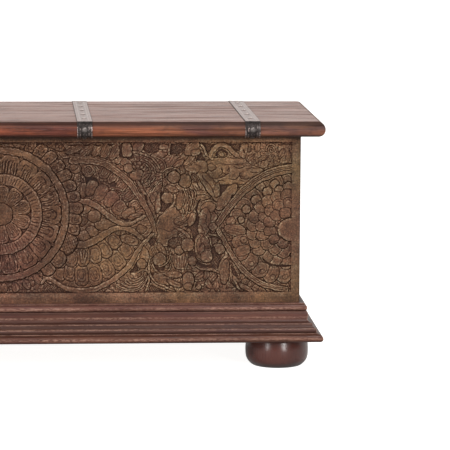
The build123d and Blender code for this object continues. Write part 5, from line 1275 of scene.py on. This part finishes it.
def carved_wood_material():
    g = Graph("carved_wood_look")
    cav = g.add("ShaderNodeAttribute", attribute_name="cav").outputs["Fac"]
    tint = g.add("ShaderNodeAttribute", attribute_name="tone_patches").outputs["Fac"]
    hgt = g.add("ShaderNodeAttribute", attribute_name="hgt").outputs["Fac"]
    grain = g.noise(g.coords((8.0, 90.0, 90.0)), 2.0, 5.0, 0.6, 0.3)
    fine = g.noise(g.coords((60.0, 420.0, 420.0)), 2.0, 3.0, 0.6)
    cloud = g.noise(g.coords((3.4, 3.4, 5.2), (0.31, 0.0, 0.12)), 1.7, 4.0, 0.55, 0.3)
    patch = g.noise(g.coords((2.1, 2.1, 3.0), (4.3, 1.0, 2.2)), 1.5, 3.0, 0.5)
    rub = g.noise(g.coords((48.0, 48.0, 48.0)), 1.0, 4.0, 0.6)
    speck = g.noise(g.coords((230.0, 230.0, 230.0)), 1.0, 2.0, 0.5)
    marks = g.noise(g.coords((150.0, 150.0, 150.0)), 1.0, 5.0, 0.62, 1.4)
    smear = g.noise(g.coords((30.0, 30.0, 30.0), (2.0, 5.0, 1.0)), 1.0, 5.0, 0.62, 0.6)
    drift = g.noise(g.coords((13.0, 13.0, 13.0), (7.0, 3.0, 2.0)), 1.0, 3.0, 0.55, 0.5)
    body = g.ramp(cloud, [(0.34, (0.072, 0.034, 0.017)), (0.52, (0.104, 0.053, 0.026)), (0.68, (0.134, 0.075, 0.038))])
    red = g.ramp(cloud, [(0.34, (0.072, 0.029, 0.019)), (0.52, (0.106, 0.045, 0.029)), (0.68, (0.136, 0.063, 0.041))])
    c = g.mix(g.ramp(patch, [(0.42, 0.0), (0.60, 1.0)]), body, red)
    c = g.mix(1.0, c, g.ramp(grain, [(0.30, 0.80), (0.52, 1.0), (0.70, 1.13)]), "MULTIPLY")
    c = g.mix(1.0, c, g.ramp(fine, [(0.30, 0.86), (0.60, 1.08)]), "MULTIPLY")
    c = g.mix(1.0, c, g.ramp(marks, [(0.32, 0.68), (0.50, 1.0), (0.66, 1.28)]), "MULTIPLY")
    c = g.mix(1.0, c, g.ramp(smear, [(0.34, 0.70), (0.50, 1.0), (0.64, 1.20)]), "MULTIPLY")
    c = g.mix(1.0, c, g.ramp(drift, [(0.34, (0.69, 0.66, 0.66)), (0.50, (1.04, 1.03, 1.0)), (0.66, (1.44, 1.46, 1.38))]), "MULTIPLY")
    # painted shade: the grooves and hollows of the relief darkened
    low = g.ramp(g.math("MULTIPLY_ADD", rub, 0.12, g.math("MULTIPLY_ADD", cav, 0.5, 0.42)), [(0.275, 1.0), (0.518, 0.0)])
    c = g.mix(g.math("MULTIPLY", low, 0.96), c, (0.024, 0.0066, 0.0024))
    # painted shade: the deepest ground darkened
    deep = g.ramp(hgt, [(0.0, 1.0), (0.55, 0.0)])
    c = g.mix(g.math("MULTIPLY", deep, 0.46), c, (0.036, 0.017, 0.011))
    # painted highlights on the crests, broken up by noise
    high = g.ramp(g.math("MULTIPLY_ADD", rub, 0.26, g.math("MULTIPLY_ADD", cav, 0.5, 0.37)), [(0.54, 0.0), (0.80, 1.0)])
    high = g.math("MULTIPLY", high, g.ramp(speck, [(0.44, 0.10), (0.62, 1.0)]))
    high = g.math("MULTIPLY", high, g.ramp(smear, [(0.40, 0.45), (0.60, 1.0)]))
    c = g.mix(g.math("MULTIPLY", high, 0.66), c, (0.368, 0.266, 0.180))
    c = g.mix(1.0, c, g.ramp(g.noise(g.coords((340.0, 340.0, 340.0), (3.0, 1.0, 7.0)), 1.0, 2.0, 0.6), [(0.34, 0.62), (0.50, 1.0), (0.66, 1.42)]), "MULTIPLY")
    up = g.add("ShaderNodeSeparateXYZ", {"Vector": g.tc.outputs["Object"]}).outputs[2]
    # painted light: the top strip of the board, where the lid's overhang casts shade, brightened, with one thin darker
    # line across it
    c = g.mix(1.0, c, g.ramp(g.math("SUBTRACT", up, -0.1), [(0.4980, 1.0), (0.5030, 1.34), (0.5076, 1.48), (0.5079, 0.90), (0.5094, 0.90), (0.5098, 1.60), (0.5122, 1.60), (0.5140, 1.0)]), "MULTIPLY")
    shade = g.ramp(up, [(0.4128, 0.0), (0.4156, 0.95)])
    c = g.mix(g.math("MULTIPLY", shade, g.ramp(rub, [(0.30, 0.75), (0.60, 1.0)])), c, (0.026, 0.011, 0.006))
    # painted glints: sparse bright specks on the crests
    glint = g.ramp(g.noise(g.coords((430.0, 430.0, 430.0), (9.0, 2.0, 5.0)), 1.0, 1.0, 0.5), [(0.60, 0.0), (0.70, 1.0)])
    glint = g.math("MULTIPLY", glint, g.ramp(g.math("MULTIPLY_ADD", cav, 0.5, g.math("MULTIPLY", rub, 0.6)), [(0.30, 0.0), (0.62, 1.0)]))
    c = g.mix(g.math("MULTIPLY", glint, 0.55), c, (0.42, 0.325, 0.235))
    out = g.math("ABSOLUTE", g.add("ShaderNodeSeparateXYZ", {"Vector": g.tc.outputs["Object"]}).outputs[0])
    out = g.math("MULTIPLY_ADD", g.math("SUBTRACT", drift, 0.5), 0.10, out)
    c = g.mix(1.0, c, g.ramp(out, [(0.0, (0.84, 0.75, 0.81)), (0.13, (0.87, 0.795, 0.845)), (0.20, (1.0, 1.0, 1.0)), (0.30, (1.0, 1.0, 1.0)), (0.36, (0.955, 0.98, 0.96)), (0.515, (0.955, 0.98, 0.96)), (0.53, (0.80, 0.88, 0.86))]), "MULTIPLY")
    c = g.mix(1.0, c, (0.83, 0.835, 0.79), "MULTIPLY")
    c = g.mix(1.0, c, g.ramp(g.math("MULTIPLY", tint, 0.5), [(0.35, 0.58), (0.50, 1.0), (0.65, 1.56)]), "MULTIPLY")
    r = g.math("MULTIPLY_ADD", fine, 0.16, g.math("MULTIPLY_ADD", high, -0.12, 0.58))
    n = g.bump(g.math("ADD", g.math("MULTIPLY", grain, 1.0), g.math("MULTIPLY_ADD", marks, 3.0, g.math("MULTIPLY", fine, 1.0))), 0.85, 0.0006)
    return g.shader(Base_Color=c, Roughness=r, Normal=n, Specular_IOR_Level=0.18)


# ------------------------------------------------------------------ straps
STRAPS = {"outer_left": -0.4455, "inner_left": -0.1475, "inner_right": 0.1475, "outer_right": 0.4455}


def strap_contour():
    """(y, z, ny, nz, s) round the lid, in mm, from under the front edge over the top to under the back."""
    pts = []
    R, yc, zlo, zhi = 15.0, 191.5, 435.5, 436.5

    def line(a, b, n, nrm):
        for k in range(n):
            t = k / n
            pts.append((a[0] + (b[0] - a[0]) * t, a[1] + (b[1] - a[1]) * t, *nrm))

    def arc(cy, cz, a0, a1, n):
        for k in range(n):
            a = math.radians(a0 + (a1 - a0) * k / n)
            pts.append((cy + R * math.cos(a), cz + R * math.sin(a), math.cos(a), math.sin(a)))

    line((-179.0, 420.5), (-yc, 420.5), 12, (0, -1))
    arc(-yc, zlo, 270, 180, 26)
    line((-206.5, zlo), (-206.5, zhi), 1, (-1, 0))
    arc(-yc, zhi, 180, 90, 26)
    line((-yc, 451.5), (yc, 451.5), 400, (0, 1))
    arc(yc, zhi, 90, 0, 26)
    line((206.5, zhi), (206.5, zlo), 1, (1, 0))
    arc(yc, zlo, 0, -90, 26)
    line((yc, 420.5), (179.0, 420.5), 12, (0, -1))
    pts.append((179.0, 420.5, 0, -1))
    p = np.array(pts)
    s = np.concatenate([[0], np.cumsum(np.hypot(np.diff(p[:, 0]), np.diff(p[:, 1])))])
    return p, s


def strap_relief(S, T, seed):
    """Height in mm below the strap's outermost level, at length S and half width T."""
    a = np.abs(T)
    h = np.full(S.shape, -0.95)
    # the sunk middle: a running wave with a bud in each bend
    per = 15.0
    ph = S / per * 2 * math.pi
    wave = 2.7 * np.sin(ph)
    d = np.abs(T - wave) / np.sqrt(1 + (2.7 * 2 * math.pi / per * np.cos(ph)) ** 2)
    h = np.maximum(h, -0.95 + 0.50 * np.clip(1 - (d / 0.95) ** 2, 0, 1))
    for side in (-1, 1):
        sc = (np.round((S / per - (0.25 if side < 0 else 0.75))) + (0.25 if side < 0 else 0.75)) * per
        q = np.hypot(S - sc, T + (0 if side < 0 else 0) - side * 3.1)
        h = np.maximum(h, -0.95 + 0.60 * np.clip(1 - (q / 1.9) ** 2, 0, 1))
    # inner ridge, corded edge and rolled rim
    h = np.maximum(h, -0.16 - 0.6 * ((a - 7.6) / 0.85) ** 2)
    cord = 1.0 - np.abs(np.sin((S + 0.9 * (a - 10.2)) * math.pi / 2.7)) ** 1.4
    h = np.maximum(h, -0.30 - 0.42 * ((a - 10.3) / 1.3) ** 2 - 0.40 * cord)
    h = np.maximum(h, -0.06 - 0.6 * ((a - 12.6) / 0.95) ** 2)
    dents = value_noise(S / 9.0 + seed, T / 6.0 + 40, 7 + int(seed)) - 0.5
    h = h + 0.22 * dents + 0.10 * (value_noise(S / 1.6 + seed, T / 1.4 + 30, 11) - 0.5)
    return np.clip(h, -1.15, -0.01)


def strap(name, x0, material, seed):
    p, s = strap_contour()
    T = np.linspace(-13.5, 13.5, 61)
    S, TT = np.meshgrid(s, T, indexing="ij")
    h = strap_relief(S, TT, seed)
    # the punched hollow round each nail
    for y in (-150.0, -75.0, 0.0, 75.0, 150.0):
        q = np.hypot(p[:, 0][:, None] - y, TT) + np.where(p[:, 3][:, None] > 0.99, 0, 99)
        h = np.where(q < 5.6, -0.14 - 0.20 * np.exp(-((q - 5.0) / 0.4) ** 2), h)
    flat_top = (smooth(0.90, 0.995, p[:, 3]))[:, None] * np.ones(TT.shape)
    h = h * (1 - 0.55 * flat_top)
    nose = np.hypot(p[:, 1][:, None] - 436.0, TT) + np.where(np.abs(p[:, 2][:, None]) > 0.6, 0, 99)
    h = np.where(nose < 6.4, -0.45 - 0.5 * np.exp(-((nose - 5.3) / 0.5) ** 2), h)
    n, k = S.shape
    X = (x0 * 1000 + TT) / 1000.0
    Y = (p[:, 0][:, None] + p[:, 2][:, None] * h) / 1000.0
    Zz = (p[:, 1][:, None] + p[:, 3][:, None] * h) / 1000.0
    outer = np.stack([X, Y, Zz], -1).reshape(-1, 3)
    inner = []
    for t in (-13.5, 13.5):
        inner.append(np.stack([np.full(n, x0 + t / 1000), (p[:, 0] - p[:, 2] * 1.5) / 1000, (p[:, 1] - p[:, 3] * 1.5) / 1000], -1))
    verts = np.vstack([outer] + inner)
    i, j = np.meshgrid(np.arange(n - 1), np.arange(k - 1), indexing="ij")
    a = (i * k + j).ravel()
    faces = np.stack([a, a + k, a + k + 1, a + 1], -1).tolist()
    L, Rr = n * k, n * k + n
    for q in range(n - 1):
        faces.append([L + q, L + q + 1, (q + 1) * k, q * k])
        faces.append([Rr + q + 1, Rr + q, q * k + k - 1, (q + 1) * k + k - 1])
        faces.append([L + q + 1, L + q, Rr + q, Rr + q + 1])
    faces.append([L] + [v for v in range(0, k)] + [Rr])
    faces.append([Rr + n - 1] + [(n - 1) * k + v for v in range(k - 1, -1, -1)] + [L + n - 1])
    o = mesh_object(f"strap_{name}_embossed", verts.tolist(), faces, material, "lid")
    strap_shade_and_wear = np.clip((h + 1.1) / 1.05, 0, 1)
    plain = np.clip((h / 0.38 + 1.1) / 1.05, 0, 1)
    # painted shade on the strap's curve over the front edge (turn); painted sheen on the flat top, which takes a high
    # value
    turn = smooth(0.25, 0.6, p[:, 3])[:, None] * (1 - flat_top)
    strap_shade_and_wear = strap_shade_and_wear * (1 - flat_top) * (1 - 0.75 * turn) + (0.84 + 0.14 * plain) * flat_top
    # painted shadow: a dark line along both edges of the flat top
    edge_shadow_line = 0.20 + 0.45 * value_noise(S / 5.0 + seed, TT / 40.0 + 70, 19)
    strap_shade_and_wear = np.where((np.abs(TT) > 12.9) & (flat_top > 0.5), edge_shadow_line, strap_shade_and_wear)
    broken = smooth(0.30, 0.55, value_noise(S / 1.9 + 3 * seed, TT / 1.5 + 90, 23))
    strap_shade_and_wear = strap_shade_and_wear * (1 - 0.42 * (1 - flat_top) * (1 - broken))
    att = o.data.attributes.new("relief_and_painted_light", "FLOAT", "POINT")
    att.data.foreach_set("value", np.concatenate([strap_shade_and_wear.ravel(), np.full(2 * n, 0.45)]).astype(np.float32))
    o.data.set_sharp_from_angle(angle=math.radians(50))
    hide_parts(f"strap_{name}")
    return o


# ------------------------------------------------------------------ put together
carved = carved_wood_material()
carved_front(carved)

strap_look = metal("strap_metal_look", (0.100, 0.086, 0.082), (0.018, 0.013, 0.012), rough=(0.30, 0.46), worn_and_sheen_colour=(0.520, 0.400, 0.372),
                   attr="relief_and_painted_light", grime_and_shade=0.92, wear=0.95, seed=1.3, metallic=0.72)
for k, (name, x) in enumerate(STRAPS.items()):
    strap(name, x, strap_look, 3.0 + 7 * k)

nail_look = metal("nail_metal_look", (0.115, 0.100, 0.094), (0.045, 0.036, 0.033), rough=(0.44, 0.58), worn_and_sheen_colour=(0.30, 0.265, 0.25), seed=4.1, wear=0.3, metallic=0.5,
                  upper=(0.50, 0.43, 0.41))
hinge_look = metal("hinge_metal_look", (0.17, 0.155, 0.14), (0.045, 0.035, 0.03), rough=(0.38, 0.6), worn_and_sheen_colour=(0.42, 0.39, 0.35), seed=7.7)
steel_look = metal("steel_look", (0.40, 0.385, 0.36), (0.10, 0.085, 0.07), rough=(0.30, 0.5), worn_and_sheen_colour=(0.62, 0.6, 0.57), seed=9.2)

LID = dict(dark=(0.070, 0.020, 0.010), mid=(0.126, 0.040, 0.019), light=(0.190, 0.070, 0.037), rough=(0.27, 0.40), patchy=1.0,
           wear=0.25, dirt_and_shade=0.8, worn_and_highlight=(0.20, 0.09, 0.05), soil_and_shade=(0.014, 0.005, 0.003), blotch=(0.170, 0.042, 0.018), bump=0.9, rings=0.5,
           edge_radius=0.003, spec=0.32, bleached_and_sheen=(0.302, 0.180, 0.150), bleached_and_sheen_amount=0.82, arris_dark_reflection=0.8, under=0.85, cracks_and_lower_edge_light=1.0,
           inside=((0.088, 0.047, 0.030), (0.122, 0.068, 0.044), (0.158, 0.094, 0.062)))
MOULD = dict(dark=(0.036, 0.011, 0.007), mid=(0.070, 0.024, 0.016), light=(0.120, 0.050, 0.034), rough=(0.28, 0.44),
             wear=0.9, dirt_and_shade=0.7, worn_and_highlight=(0.34, 0.20, 0.15), soil_and_shade=(0.024, 0.009, 0.006), blotch=(0.092, 0.034, 0.025), bump=0.8, rings=0.4,
             hollow=0.012, spec=0.22, under=0.45, patchy=0.5)
PLATE = dict(MOULD, dark=(0.036, 0.011, 0.006), mid=(0.070, 0.024, 0.014), light=(0.108, 0.041, 0.026), blotch=(0.095, 0.030, 0.017))
FOOT = dict(dark=(0.030, 0.007, 0.005), mid=(0.050, 0.011, 0.007), light=(0.082, 0.021, 0.013), rough=(0.24, 0.32), coat=0.85, coat_rough=0.26,
            wear=0.15, dirt_and_shade=0.7, worn_and_highlight=(0.2, 0.10, 0.075), soil_and_shade=(0.010, 0.004, 0.003), blotch=(0.075, 0.017, 0.010), bump=0.35, rings=0.3, spec=0.12,
            under=0.7, fibres=0.3)
CASE = dict(dark=(0.060, 0.028, 0.015), mid=(0.100, 0.050, 0.027), light=(0.140, 0.078, 0.044), rough=(0.46, 0.62), wear=0.5, dirt_and_shade=0.7,
            worn_and_highlight=(0.23, 0.15, 0.095), soil_and_shade=(0.018, 0.008, 0.004), blotch=(0.094, 0.042, 0.025), bump=0.6, rings=0.5, spec=0.25)
BARE = dict(dark=(0.190, 0.108, 0.062), mid=(0.262, 0.162, 0.098), light=(0.330, 0.218, 0.140), rough=(0.6, 0.78), wear=0.3, dirt_and_shade=0.5,
            worn_and_highlight=(0.42, 0.32, 0.23), soil_and_shade=(0.075, 0.042, 0.024), bump=0.6, rings=0.6, spec=0.25)

looks = {
    "lid_board_front": wood("lid_wood_front", "X", seed=0.0, **LID),
    "lid_board_middle": wood("lid_wood_middle", "X", seed=3.7, **LID),
    "lid_board_back": wood("lid_wood_back", "X", seed=8.3, **LID),
    "back_panel": wood("case_wood_back", "X", seed=2.2, **CASE),
    "side_panel_left": wood("case_wood_left", "Y", seed=5.1, **CASE),
    "side_panel_right": wood("case_wood_right", "Y", seed=6.4, **CASE),
    "bottom_board": wood("case_wood_bottom", "X", seed=9.9, **BARE),
    "lid_cleat_left": wood("cleat_wood_left", "Y", seed=1.9, **BARE),
    "lid_cleat_right": wood("cleat_wood_right", "Y", seed=7.3, **BARE),
    "foot_bolts": wood("dowel_wood_look", "Z", seed=2.9, **dict(BARE, dark=(0.33, 0.22, 0.12), mid=(0.42, 0.29, 0.17), light=(0.5, 0.36, 0.22))),
}
for k, (a, b) in enumerate([("front", "left"), ("front", "right"), ("back", "left"), ("back", "right")]):
    looks[f"corner_post_{a}_{b}"] = wood(f"post_wood_{a}_{b}", "Z", seed=1.1 + 2.7 * k, **BARE)
    looks[f"foot_{a}_{b}"] = wood(f"turned_wood_{a}_{b}", "Z", seed=0.7 + 1.9 * k, **FOOT)
for k, (side, axis) in enumerate([("front", "X"), ("back", "X"), ("left", "Y"), ("right", "Y")]):
    looks[f"plinth_{side}"] = wood(f"plinth_wood_{side}", axis, seed=4.4 + 1.3 * k, shade_lines=((2, 0.0655, 0.0030), (2, 0.0535, 0.0030)),
                                   highlight_lines=((0.0592, 0.0034, 0.50),), **PLATE)
    looks[f"base_moulding_{side}"] = wood(f"ogee_wood_{side}", axis, seed=2.6 + 1.7 * k,
                                          shade_lines=((2, 0.0868, 0.0044), (2, 0.0792, 0.0050), (2, 0.0698, 0.0020), (2, 0.1026, 0.0034)), below=(0.0900, 0.60),
                                          highlight_lines=((0.0940, 0.0030, 0.65), (0.1050, 0.0008, 0.50), (0.0836, 0.0014, 0.45), (0.0754, 0.0022, 0.42), (0.0684, 0.0010, 0.4)), **MOULD)
    looks[f"bead_moulding_{side}"] = wood(f"bead_wood_{side}", axis, seed=6.6 + 2.1 * k, shade_lines=((2, 0.1170, 0.0021),),
                                          highlight_lines=((0.1108, 0.0036, 0.68), (0.1064, 0.0026, 0.62)), **dict(MOULD, under=0.12, dirt_and_shade=0.3))

for name, o in NODES.items():
    look = looks.get(name)
    if look is None:
        look = (nail_look if name.startswith("strap_nails") else strap_look if name.startswith("strap_")
                else steel_look if "screws" in name or name.startswith("hinge_pin") else hinge_look if name.startswith("hinge_")
                else carved)
    o.data.materials.clear()
    o.data.materials.append(look)

bpy.context.view_layer.update()
